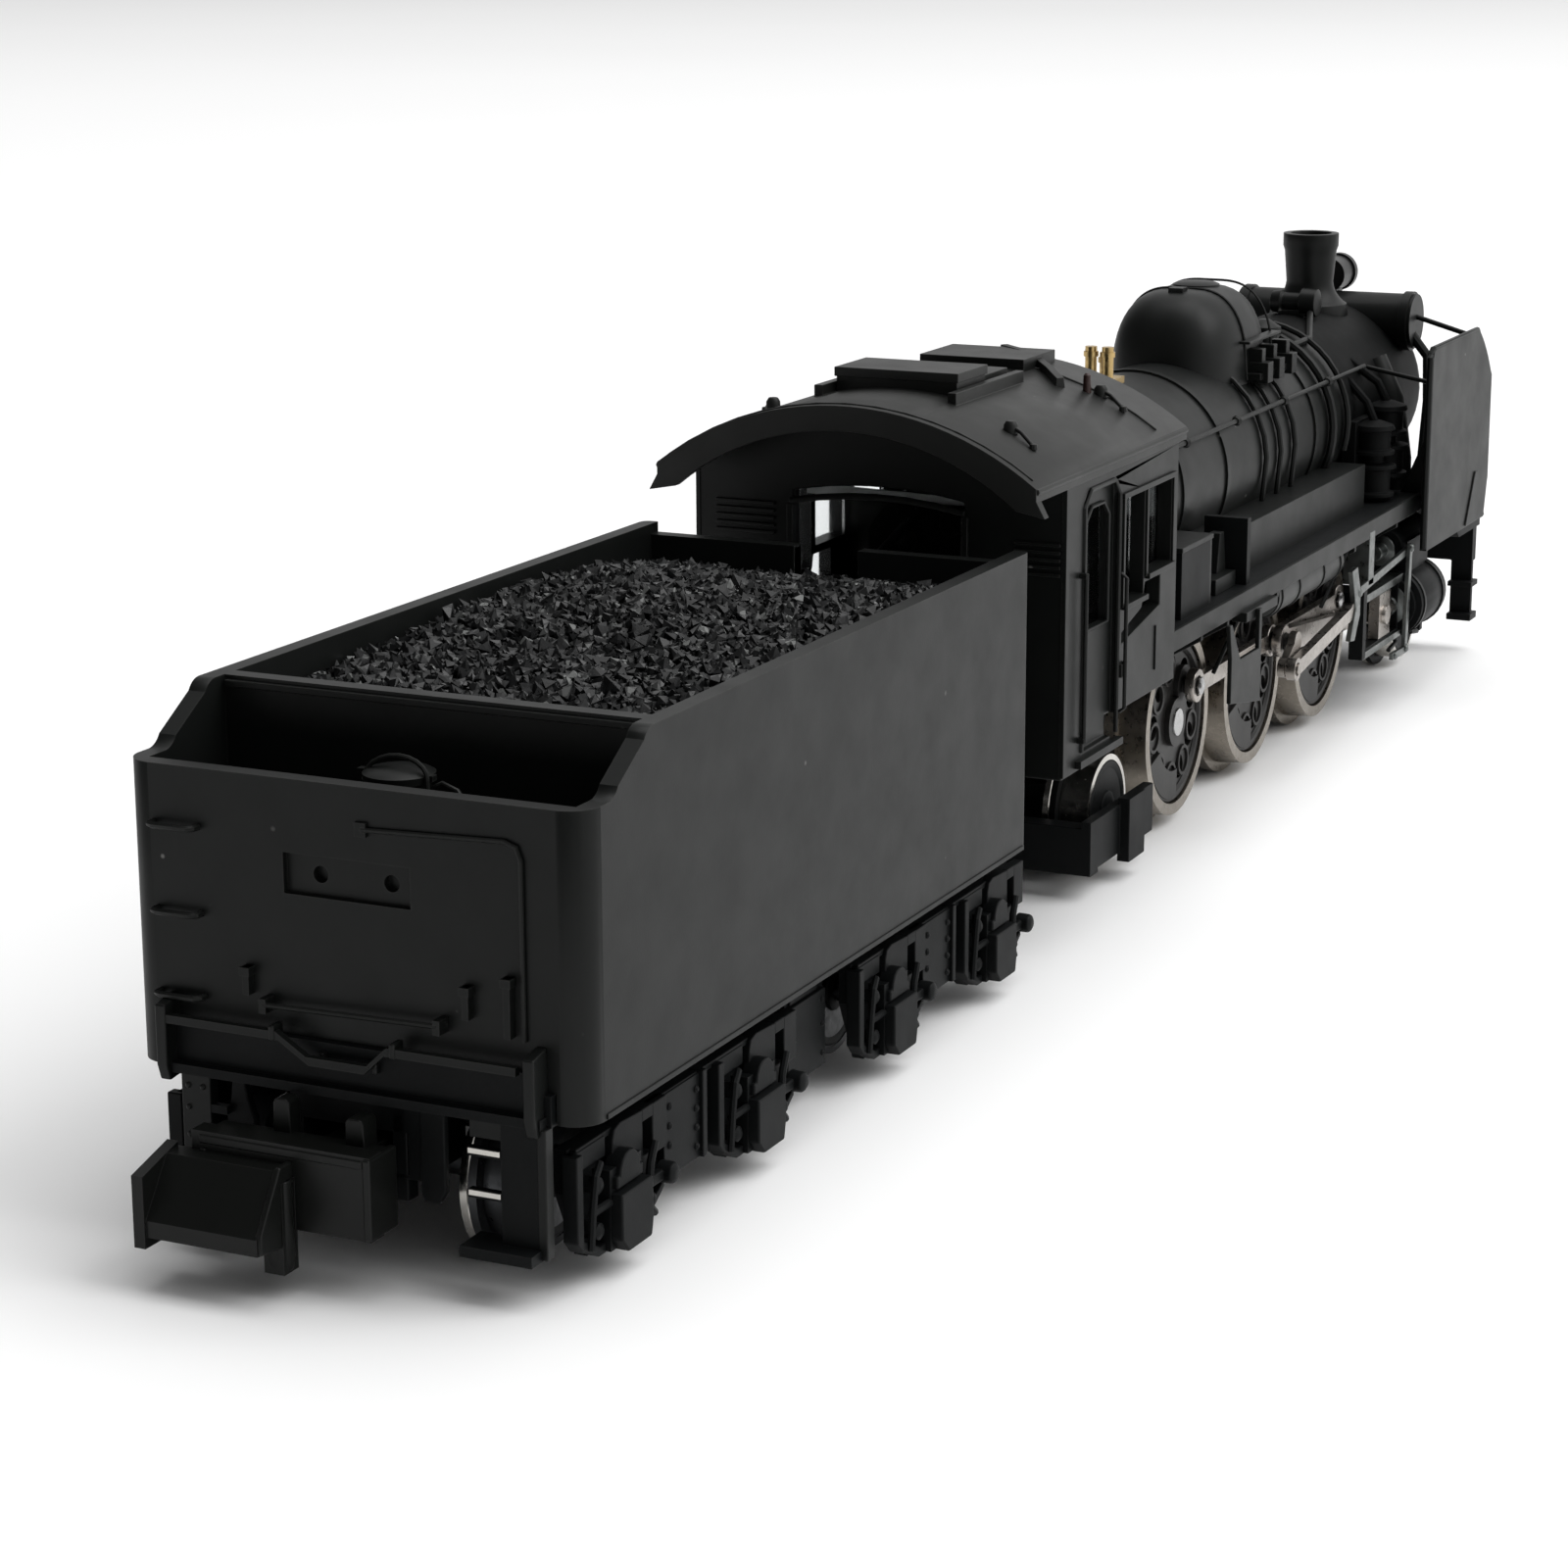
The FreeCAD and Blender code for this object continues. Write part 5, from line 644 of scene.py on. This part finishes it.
def make_cab_details():
    """Louvres, door and window frames, handrails, and the controls on the backhead."""
    rear, side = CAB_REAR_X, CAB_SIDE_Y
    walls = Piece("cab_wall_trim", SATIN, bevel=0.04)
    for slat in range(5):
        z = 17.25 + 0.33 * slat
        walls.block((rear - 0.12, rear + 0.02), (side + 0.15, -6.5), (z, z + 0.15))
        walls.block((rear - 0.12, rear + 0.02), (5.0, 7.9), (z + 0.9, z + 1.05))
    for sign in (-1, 1):
        walls.prism("x", [(sign * 4.05, 10.5), (sign * 4.35, 10.5), (sign * 4.35, 19.6),
                          (sign * 4.05, 19.6)],
                    (rear - 0.2, rear + 0.1))
    walls.wire([(rear - 0.1, y,
                 19.75 + 0.42 * (1 - (y / 4.2) ** 2)) for y in (-4.2, -2.8, -1.4, 0, 1.4, 2.8, 4.2)],
               0.16)
    walls.done()
    sides = Piece("cab_side_trim", SATIN, bevel=0.035)
    sides.block((rear - 0.05, rear + 0.35), (side - 0.12, side + 0.1), (8.3, 21.3))
    door = [(-9.9, 8.95), (-9.9, 19.9), (-9.2, 20.6), (-6.2, 20.6), (-5.5, 19.9), (-5.5, 8.95)]
    sides.wire([(x, side - 0.02, z) for x, z in door], 0.12, 6)
    frame_line = [(-9.1, 14.2), (-9.1, 19.1), (-8.4, 19.7), (-6.9, 19.7), (-6.2, 19.1), (-6.2, 14.2),
                  (-9.1, 14.2)]
    sides.wire([(x, side + 0.24, z) for x, z in frame_line], 0.1, 6)
    sides.block((-4.9, -1.9), (side - 0.22, side + 0.05), (14.45, 14.7))
    sides.block((-1.8, 1.8), (side - 0.22, side + 0.05), (15.35, 15.6))
    for x in (-5.0, -1.95, 1.65):
        sides.block((x, x + 0.22), (side - 0.1, side + 0.05), (14.6 if x < -3 else 15.5, 19.7))
    sides.block((-5.1, 1.9), (side - 0.14, side + 0.05), (19.55, 19.8))
    sides.block((-10.6, -5.2), (side - 0.3, side + 0.1), (8.35, 8.7))
    for x in (-5.45, -4.75):
        sides.block((x, x + 0.22), (side - 0.25, side + 0.05), (11.45, 12.05))
    sides.block((-0.4, -0.22), (side - 0.08, side + 0.05), (10.8, 12.9))
    sides.block((-12.2, 2.4), (side - 0.06, side + 0.05), (21.05, 21.25))
    for z in (9.6, 17.0):
        sides.block((-10.45, -10.2), (side - 0.35, side + 0.05), (z - 0.12, z + 0.12))
    sides.wire([(-10.32, side - 0.3, 9.5), (-10.32, side - 0.3, 17.1)], 0.11)
    sides.wire([(-5.15, side - 0.02, 9.8), (-5.15, side - 0.3, 10.0), (-5.15, side - 0.3, 16.0),
                (-5.15, side - 0.02, 16.2)], 0.1)
    sides.both().done()
    inside = Piece("cab_controls", MATT, bevel=0.06)
    inside.lathe("x", (0, 13.4), [(-4.0, 1.3), (-4.25, 1.2), (-4.3, 0.3)], 24)
    for y, z, radius in ((-2.2, 16.6, 0.55), (0, 17.6, 0.65), (2.2, 16.6, 0.55), (-3.0, 14.6, 0.45),
                         (3.0, 14.6, 0.45)):
        inside.lathe("x", (y, z), [(-3.55, radius), (-3.9, radius), (-3.95, radius * 0.7)], 20)
    inside.wire([(-3.8, -3.6, 11.0), (-3.9, -3.6, 16.0), (-3.9, -1.5, 18.3), (-3.9, 1.5, 18.3),
                 (-3.9, 3.6, 16.0), (-3.8, 3.6, 11.0)], 0.2)
    inside.wire([(-3.8, -1.2, 15.2), (-5.2, 0.6, 15.6)], 0.16)
    for y in ((-7.4, -5.2), (5.2, 7.4)):
        inside.block((-5.6, -3.9), y, (10.5, 13.2))
    inside.done()
    # a bright strip across the cab front: painted light in place of the light seen through the front windows
    pane = Piece("cab_front_painted_light", WINDOW_LIGHT_PAINT, bevel=0)
    pane.prism("x", [(-3.0, 18.3), (7.4, 18.5), (7.4, 19.0), (-3.0, 18.75)], (-3.75, -3.6))
    pane.done()


def make_roof_details():
    """Clips, ventilator covers, rain strip, seams, gutters and the peg on the cab roof."""
    roof = Piece("roof_fittings", ROOF, bevel=0.05)
    for x, y, turn in ((-11.9, -6.1, -112), (-0.4, -5.95, -110), (-11.8, 5.3, 40)):
        z = roof_height(y)
        dx, dy = math.cos(math.radians(turn)), math.sin(math.radians(turn))
        slope = (roof_height(y + 0.9 * dy) - z) / 0.9
        roof.lathe("z", (x, y), [(z - 0.1, 0.34), (z + 0.3, 0.32), (z + 0.48, 0.2)], 14)
        roof.wire([(x, y, z + 0.25), (x + 0.6 * dx, y + 0.6 * dy, z + 0.3 + slope * 0.6),
                   (x + 1.3 * dx, y + 1.3 * dy, z + 0.12 + slope * 1.3)], 0.1)
        roof.lathe("z", (x + 1.35 * dx, y + 1.35 * dy),
                   [(z + slope * 1.3 - 0.05, 0.2), (z + slope * 1.3 + 0.2, 0.17)], 10)
    roof.block((-10.38, -6.92), (-2.98, 2.98), (25.1, 25.52))
    roof.block((-6.9, -3.6), (-2.6, 2.6), (24.4, 24.95))
    strip = [(x, y, roof_height(y)) for x, y in ((2.6, 0.1), (1.6, -1.2), (0.6, -2.3), (-0.8, -3.5),
                                                 (-2.2, -4.6))]
    roof.skin([[(x, y + 0.2, z - 0.1), (x + 0.35, y - 0.15, z - 0.1), (x + 0.3, y - 0.1, z + 0.42),
                (x, y + 0.15, z + 0.42)] for x, y, z in strip])
    places = (8.6, 7.6, 6.4, 5.2, 4.0, 2.8, 1.4)
    for x in (-15.6, -0.2):
        roof.wire([(x, y, roof_height(y) + 0.02) for y in (*places, 0, *(-y for y in reversed(places)))],
                  0.07, 6)
    for y in (8.9, -8.9):
        roof.wire([(-16.0, y, 21.55), (3.05, y, 21.55)], 0.16)
    roof.done()
    peg = Piece("roof_peg", PEG, bevel=0.03)
    z = roof_height(5.45)
    peg.lathe("z", (-0.9, -5.45), [(z - 0.1, 0.2), (z + 0.75, 0.17), (z + 0.85, 0.08)], 12)
    peg.done()


def around_boiler(degrees, radius=5.45):
    """A (y, z) point on a circle round the boiler; 0 is straight up and 90 its right."""
    turn = math.radians(degrees)
    return -radius * math.sin(turn), BOILER_Z + radius * math.cos(turn)


def make_dome():
    """Smooth loaf-shaped casing over the steam dome and sand box, with its seams and lid."""
    middle, half_length, half_width = 29.2, 5.2, 3.6
    low, high = 19.9, 25.1

    def loaf_ring(rise, grow=0.0):
        shrink = max(1 - rise ** 2.7, 0.0) ** (1 / 2.7)
        ring = []
        for turn in full_turn(64):
            u, v = math.cos(turn), math.sin(turn)
            reach = (abs(u) ** 2.8 + abs(v) ** 2.8) ** (-1 / 2.8)
            length = half_length * (0.25 + 0.75 * shrink) + grow
            width = half_width * (0.12 + 0.88 * shrink) + grow
            ring.append((middle + length * reach * u, width * reach * v, low + (high - low) * rise))
        return ring

    casing = Piece("dome_casing", SATIN, bevel=0)
    rises = [0, 0.15, 0.3, 0.45, 0.55, 0.64, 0.72, 0.79, 0.85, 0.9, 0.94, 0.97, 0.99, 1.0]
    casing.skin([loaf_ring(rise) for rise in rises])
    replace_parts(casing.done(smooth=60), "steam_dome")
    trim = Piece("dome_seams", SATIN, bevel=0)
    for x in (28.2, 32.6):
        line = []
        for step in range(41):
            y = half_width * (1 - step / 20)
            rise = (1 - ((abs(y) / half_width - 0.12) / 0.88) ** 2.7) if abs(y) > 0.12 * half_width else 1.0
            rise = max(rise, 0.0) ** (1 / 2.7)
            line.append((x, y * 1.01, max(low + (high - low) * rise * 1.004, 20.4)))
        trim.wire(line, 0.07, 6)
    trim.lathe("z", (30.2, 0.0), [(24.9, 1.3), (25.15, 1.25), (25.25, 1.0), (25.3, 0.3)])
    trim.block((26.8, 27.6), (-0.4, 0.4), (24.6, 25.25))
    trim.done()


def make_boiler_pipes():
    """Handrail, pipes, smokebox sleeve, pumps and the fittings on top of the boiler."""
    pipes = Piece("boiler_pipes", SATIN, bevel=0)
    y, z = around_boiler(62, 5.85)
    pipes.wire([(3.0, y, z), (20.0, y, z), (38.0, y, z), (45.0, y, z)], 0.13)
    for x in (6, 14, 22, 30, 38):
        pipes.wire([(x, *around_boiler(62, 5.2)), (x, y, z)], 0.14)
        pipes.lathe("x", (y, z), [(x - 0.2, 0.2), (x, 0.28), (x + 0.2, 0.2)], 10)
    for x in (26.5, 29.0, 31.5):
        path = [(x, *around_boiler(angle, 5.4)) for angle in range(28, 112, 12)]
        pipes.wire(path + [(x, -5.0, 11.9)], 0.15)
    pipes.wire([(38.2, *around_boiler(angle, 5.5)) for angle in range(24, 130, 8)], 0.24)
    pipes.wire([(41.0, *around_boiler(angle, 5.5)) for angle in range(10, 110, 8)], 0.18)
    pipes.wire([(49.4, -4.4, 18.9), (49.2, -5.6, 16.6), (48.2, -6.4, 13.4), (47.2, -6.7, 10.2)], 0.85, 14)
    pipes.wire([(54.8, -5.0, 20.0), (54.4, -6.3, 18.6), (52.6, -6.9, 16.2), (50.6, -7.2, 12.4)], 0.3, 10)
    pipes.both().done()
    sleeve = Piece("smokebox_wrapper", SOOT, bevel=0)
    sleeve.ring("x", (0, BOILER_Z), [(42.2, 5.1), (42.2, 5.3), (42.5, 5.34), (56.1, 5.34), (56.3, 5.3),
                                     (56.3, 5.1)])
    sleeve.done()
    pump = Piece("air_pumps", SOOT, bevel=0.05)
    profile = [(0, 0.9), (0.3, 1.25), (0.5, 1.25), (0.6, 1.0), (1.8, 1.0), (1.9, 1.3), (2.1, 1.3),
               (2.2, 0.6),
               (2.6, 0.6), (2.7, 1.2), (2.9, 1.2), (3.0, 0.95), (4.0, 0.95), (4.1, 1.2), (4.35, 1.1),
               (4.6, 0.4)]
    for x, base in ((42.9, 11.8), (45.4, 12.6)):
        pump.lathe("z", (x, -6.5), [(base + rise, radius) for rise, radius in profile])
    pump.block((41.6, 46.6), (-5.8, -5.0), (12.6, 16.4))
    pump.wire([(42.9, -6.5, 16.3), (42.9, -6.0, 17.4), (43.2, -4.7, 18.6)], 0.25)
    pump.wire([(45.4, -6.5, 17.0), (45.4, -5.9, 18.2), (45.2, -4.2, 19.4)], 0.25)
    pump.both().done()
    small = Piece("boiler_top_fittings", SATIN, bevel=0.04)
    small.lathe("y", (46.6, 22.4), [(-1.9, 0.3), (-1.8, 0.8), (-0.9, 0.85), (-0.8, 0.55), (0.2, 0.55),
                                    (0.3, 0.7), (0.9, 0.6)], 20)
    small.block((46.0, 47.2), (-1.2, 0.4), (21.0, 22.0))
    small.lathe("z", (37.4, -1.6), [(20.9, 0.7), (21.8, 0.7), (21.9, 0.9), (22.1, 0.9), (22.5, 0.3)], 20)
    small.lathe("z", (40.2, 1.0), [(21.0, 0.6), (22.0, 0.5), (22.4, 0.2)], 16)
    small.wire([(36.6, -2.4, 21.2), (38.6, -2.9, 21.0), (41.6, -2.9, 21.0), (45.8, -1.6, 21.9)], 0.2)
    small.lathe("z", (5.6, 0.0), [(21.3, 0.9), (22.2, 0.8), (22.6, 0.3)], 18)
    small.block((2.7, 4.4), (-2.4, 2.4), (21.0, 22.3))
    small.done()
    make_dome()
    dome = Piece("dome_trim", SATIN, bevel=0.04)
    for x in (29.0, 31.0, 33.2):
        dome.block((x - 0.45, x + 0.45), (-4.7, -3.3), (20.2, 21.3))
        dome.block((x - 0.3, x + 0.3), (-4.3, -3.4), (21.2, 22.0))
    dome.block((28.2, 34.0), (-4.4, -3.4), (20.4, 20.75))
    dome.block((27.6, 33.0), (-3.95, -3.3), (22.35, 22.5))
    dome.done()


def make_board_details():
    """Running board boxes and brackets, air reservoir, deflector edging and the smokebox front."""
    boards = Piece("running_board_trim", SATIN, bevel=0.05)
    boards.block((2.7, 51.2), (-8.48, -8.25), (10.85, 11.85))
    boards.prism("x", [(-6.75, 11.7), (-6.6, 11.7), (-6.6, 14.05), (-4.6, 14.05), (-4.6, 14.25),
                       (-6.75, 14.25)],
                 (16.4, 40.5))
    boards.block((12.6, 15.7), (-7.4, -5.4), (11.8, 12.6))
    boards.prism("y", [(14.2, 12.6), (15.6, 12.6), (15.2, 14.6), (14.6, 14.6)], (-6.9, -6.3))
    boards.block((6.0, 10.6), (-7.9, -5.5), (15.1, 15.35))
    boards.block((10.35, 10.65), (-7.8, -5.6), (11.8, 15.2))
    for x in (8.0, 12.0, 20.0, 33.8, 42.0):
        boards.prism("x", [(-8.3, 11.2), (-8.3, 10.5), (-6.4, 9.4), (-6.4, 11.2)], (x - 0.15, x + 0.15))
    for x in (21.6, 24.6, 28.9, 31.9):
        boards.ring("x", RESERVOIR, [(x - 0.12, 1.14), (x - 0.12, 1.24), (x + 0.12, 1.24), (x + 0.12, 1.14)],
                    28)
    boards.wire([(12.0, -7.9, 10.6), (20.0, -7.9, 10.6), (20.8, -7.5, 10.3)], 0.14)
    boards.wire([(33.0, -7.4, 10.4), (36.0, -8.0, 10.7), (44.0, -8.0, 10.7)], 0.14)
    for x in (15.2, 33.4):
        boards.wire([(x, -8.1, 11.0), (x - 1.5, -7.0, 7.6)], 0.12)
    boards.prism("y", [(10.0, 10.9), (10.4, 10.9), (11.8, 8.9), (14.7, 8.9), (14.7, 10.9), (15.1, 10.9),
                       (15.1, 6.1), (10.4, 6.9), (10.4, 9.2)], (-9.05, -8.82))
    boards.block((13.4, 18.4), (-8.8, -8.0), (10.4, 10.9))
    boards.both().done()
    tank = Piece("reservoir_shell", MATT_LIGHT, bevel=0)
    tank.lathe("x", RESERVOIR, [(20.7, 0.3), (20.8, 0.8), (21.05, 1.17), (32.45, 1.17), (32.7, 0.8),
                                (32.8, 0.3)])
    tank.both().done()
    plates = Piece("deflector_stays", SATIN, bevel=0.05)
    plates.wire([(55.0, -5.2, 20.9), (55.2, -8.95, 19.8)], 0.16)
    plates.wire([(46.4, -4.9, 18.9), (46.2, -8.95, 18.2)], 0.14)
    plates.wire([(44.42, -9.2, 8.9), (44.42, -9.2, 19.9), (44.9, -9.2, 20.3), (54.4, -9.2, 20.32),
                 (57.6, -9.2, 17.3), (57.62, -9.2, 11.0)], 0.21)
    for span in ((46.3, 46.6), (50.1, 50.4)):
        plates.prism("x", [(-9.0, 12.0), (-9.0, 15.4), (-8.7, 15.4), (-7.2, 11.8), (-7.2, 11.5),
                           (-9.0, 11.5)],
                     span)
    plates.prism("y", [(52.6, 8.9), (56.9, 8.9), (54.9, 11.9), (54.4, 11.9)], (-9.42, -9.5))
    plates.both().done()
    front = Piece("smokebox_front", SATIN, bevel=0.04)
    front.ring("x", (0, BOILER_Z), [(56.3, 4.95), (56.3, 5.3), (56.6, 5.3), (56.6, 4.95)])
    front.studs("x", [(56.6, *around_boiler(angle, 5.12)) for angle in range(0, 360, 15)], 0.14, 0.12)
    front.wire([(57.3, y, BOILER_Z + 3.2 - 0.05 * y * y) for y in (-3.4, -2.2, -1.1, 0, 1.1, 2.2, 3.4)],
               0.12)
    front.block((57.2, 57.5), (-1.6, 1.6), (15.9, 17.0))
    front.lathe("x", (0, 14.6), [(57.0, 0.5), (57.7, 0.45), (57.9, 0.2)], 16)
    front.block((59.9, 60.35), (-7.9, 7.9), (5.7, 6.1))
    for y in (-5.6, 5.6):
        front.lathe("x", (y, 7.0), [(60.2, 0.7), (60.6, 0.7), (60.7, 0.5)], 20)
    front.studs("x", [(60.3, y, z) for y in (-7.6, -4.4, -3.2, 3.2, 4.4, 7.6) for z in (6.3, 7.3)], 0.15,
                0.1)
    front.done()
    lens = Piece("headlight_lens", LENS, bevel=0)
    lens.lathe("x", (0, 23.15), [(55.6, 0.84), (56.2, 0.84), (56.5, 0.6), (56.62, 0.2)], 24)
    lens.done()


def make_running_gear():
    """Valve gear, cylinder covers, and the driving wheels' balance weights, pin caps and hubs."""
    gear = Piece("valve_gear", VALVE_GEAR, bevel=0.04)
    gear.prism("y", [(32.6, 9.6), (33.6, 9.7), (34.3, 8.2), (34.3, 6.9), (33.4, 5.6), (32.6, 5.7),
                     (33.5, 7.4)],
               (-8.55, -8.25))
    gear.block((35.9, 36.9), (-8.5, -7.0), (8.2, 11.2))
    gear.prism("y", [(34.0, 7.9), (44.6, 8.7), (44.6, 9.1), (34.0, 8.4)], (-8.5, -8.25))
    for low, high in ((7.0, 7.45), (3.8, 4.2)):
        gear.prism("y", [(36.6, low), (44.3, low), (44.3, high), (36.6, high)], (-8.12, -7.3))
    gear.prism("y", [(43.4, 9.3), (43.9, 9.3), (43.5, 3.2), (43.0, 3.2)], (-8.75, -8.5))
    gear.prism("y", [(40.6, 3.1), (43.4, 3.0), (43.4, 3.4), (40.6, 3.5)], (-8.75, -8.5))
    gear.lathe("x", CYLINDER, [(44.2, 1.2), (43.9, 1.2), (43.8, 0.7), (43.5, 0.6)], 20)
    gear.lathe("x", VALVE_CHEST, [(43.7, 0.9), (43.5, 0.9), (43.4, 0.5), (42.4, 0.45)], 18)
    gear.studs("y", [(x, -8.5, z) for x, z in ((34.2, 8.15), (44.4, 8.9))], 0.3, 0.15, -1)
    gear.studs("y", [(x, -8.75, z) for x, z in ((43.6, 9.1), (43.2, 3.3), (41.0, 3.3))], 0.24, 0.15, -1)
    gear.both().done()
    cover = Piece("cylinder_covers", SATIN, bevel=0.05)
    cover.lathe("x", CYLINDER, [(49.7, 1.75), (50.0, 1.75), (50.1, 1.2), (50.3, 1.0), (50.35, 0.3)], 28)
    cover.studs("x", [(49.95, CYLINDER[0] + 1.45 * math.cos(turn), CYLINDER[1] + 1.45 * math.sin(turn))
                      for turn in full_turn(8)], 0.14, 0.12)
    cover.lathe("x", VALVE_CHEST, [(49.9, 1.0), (50.4, 0.9), (50.5, 0.4)], 20)
    for x in (44.9, 48.8):
        cover.ring("x", CYLINDER, [(x - 0.15, 1.9), (x - 0.15, 2.04), (x + 0.15, 2.04), (x + 0.15, 1.9)], 32)
    for x, end in ((45.4, 44.0), (48.6, 50.0)):
        cover.wire([(x, -7.35, 3.6), (x, -7.5, 3.1), (end, -7.5, 2.9)], 0.14)
    cover.both().done()
    for body, x in DRIVERS.items():
        for side, sign, crank in (("right", -1, 60), ("left", 1, -30)):
            crank = math.radians(crank)
            pin = (x + CRANK_THROW * math.cos(crank), DRIVER_Z + CRANK_THROW * math.sin(crank))
            hub = Piece(f"{body}_{side}_centre", WHEEL, body, bevel=0.03)
            face = sign * 5.42
            hub.ring("y", (x, DRIVER_Z), [(face, 4.16), (face + sign * 0.16, 4.05),
                                          (face + sign * 0.16, 3.75), (face, 3.6)])
            for index in range(9):
                turn = math.radians(-(15 + 40 * index))
                place = (x + 2.85 * math.cos(turn), DRIVER_Z + 2.85 * math.sin(turn))
                if math.dist(place, pin) > 1.75:
                    hub.ring("y", place, [(face - sign * 0.1, 0.6), (face + sign * 0.1, 0.62),
                                          (face + sign * 0.1, 0.8), (face - sign * 0.1, 0.82)], 20)
            away = crank + math.pi
            weight = [(x + radius * math.cos(away + math.radians(turn)),
                       DRIVER_Z + radius * math.sin(away + math.radians(turn)))
                      for radius, turns in ((3.95, range(-38, 39, 8)), (2.5, range(38, -39, -8)))
                      for turn in turns]
            hub.prism("y", weight, (face - sign * 0.1, face + sign * 0.2))
            hub.done()
            end = sign * (7.5 if body == "middle_driver" else 6.48)
            nut = Piece(f"{body}_{side}_pin_cap", STEEL, body, bevel=0.02)
            nut.lathe("y", pin, [(end - sign * 0.12, 0.44), (end + sign * 0.12, 0.5),
                                 (end + sign * 0.2, 0.3)], 6)
            nut.done()
            axle = Piece(f"{body}_{side}_axle_cap", STEEL, body, bevel=0.02)
            axle.lathe("y", (x, DRIVER_Z), [(sign * 5.65, 0.72), (sign * 5.78, 0.7), (sign * 5.8, 0.2)], 20)
            axle.done()


make_coal()
make_tender_rear()
make_coupler_details()
for end, centre in BOGIES.items():
    make_bogie_sides(end, centre)
make_wheel_rims()
make_tender_underside()
make_cab_details()
make_roof_details()
make_boiler_pipes()
make_board_details()
make_running_gear()


# ---- floor, light and camera

def make_stage():
    """Pale floor, and a white world that is brighter on the lit side."""
    mesh = bpy.data.meshes.new("floor")
    reach = 3.0  # metres
    mesh.from_pydata([(-reach, -reach, 0), (reach, -reach, 0), (reach, reach, 0), (-reach, reach, 0)], [],
                     [(0, 1, 2, 3)])
    floor = add_object("floor", mesh)
    material, tree, shader, place = new_material("pale floor")
    cloud = noise(tree, place, 0.004, 2.0)
    tree.links.new(mix_colour(tree, cloud, (0.9, 0.9, 0.9), (0.93, 0.93, 0.93)), shader.inputs["Base Color"])
    shader.inputs["Roughness"].default_value = 0.9
    mesh.materials.append(material)
    world = bpy.data.worlds.new("studio")
    bpy.context.scene.world = world
    world.use_nodes = True
    tree = world.node_tree
    background = tree.nodes["Background"]
    facing = add_node(tree, "ShaderNodeVectorMath", operation="DOT_PRODUCT")
    tree.links.new(tree.nodes.new("ShaderNodeTexCoord").outputs["Generated"], facing.inputs[0])
    facing.inputs[1].default_value = (0.64, -0.6, 0.48)
    tree.links.new(ramp(tree, facing.outputs["Value"], -0.2, 0.75, 0.1, 1.0), background.inputs["Strength"])
    background.inputs["Color"].default_value = (1.0, 1.0, 1.0, 1)


def soft_light(name, centre, target, size, power):
    light = bpy.data.lights.new(name, "AREA")
    light.shape = "RECTANGLE"
    light.size, light.size_y = size
    light.energy = power
    item = add_object(name, light)
    item.location = centre
    item.rotation_euler = (Vector(target) - Vector(centre)).to_track_quat("-Z", "Y").to_euler()


def make_camera():
    """The camera that looks at the tender's rear corner."""
    place, angles, focal_length = (-157.213, -63.835, 47.346), (-64.7198, 14.2453, -0.1996), 83.573
    azimuth, elevation, roll = (math.radians(angle) for angle in angles)
    back = Vector((math.sin(azimuth) * math.cos(elevation), -math.cos(azimuth) * math.cos(elevation),
                   math.sin(elevation)))
    right = (-back).cross(Vector((0, 0, 1))).normalized()
    up = back.cross(right)
    tilted_right = right * math.cos(roll) + up * math.sin(roll)
    tilted_up = up * math.cos(roll) - right * math.sin(roll)
    data = bpy.data.cameras.new("camera")
    data.sensor_width = 36
    data.lens = focal_length
    data.clip_start = 0.01
    data.clip_end = 20
    camera = add_object("camera", data)
    turn = Matrix((tilted_right, tilted_up, back)).transposed().to_4x4()
    camera.matrix_world = Matrix.Translation(Vector(place) * MM) @ turn
    bpy.context.scene.camera = camera


make_stage()
make_camera()
soft_light("key", (0.25, -0.9, 1.0), (0, 0, 0.01), (0.9, 0.9), 9)
soft_light("top", (0.25, -0.1, 1.4), (0, 0, 0.01), (1.0, 1.0), 8)
bpy.context.scene.view_settings.view_transform = "Standard"
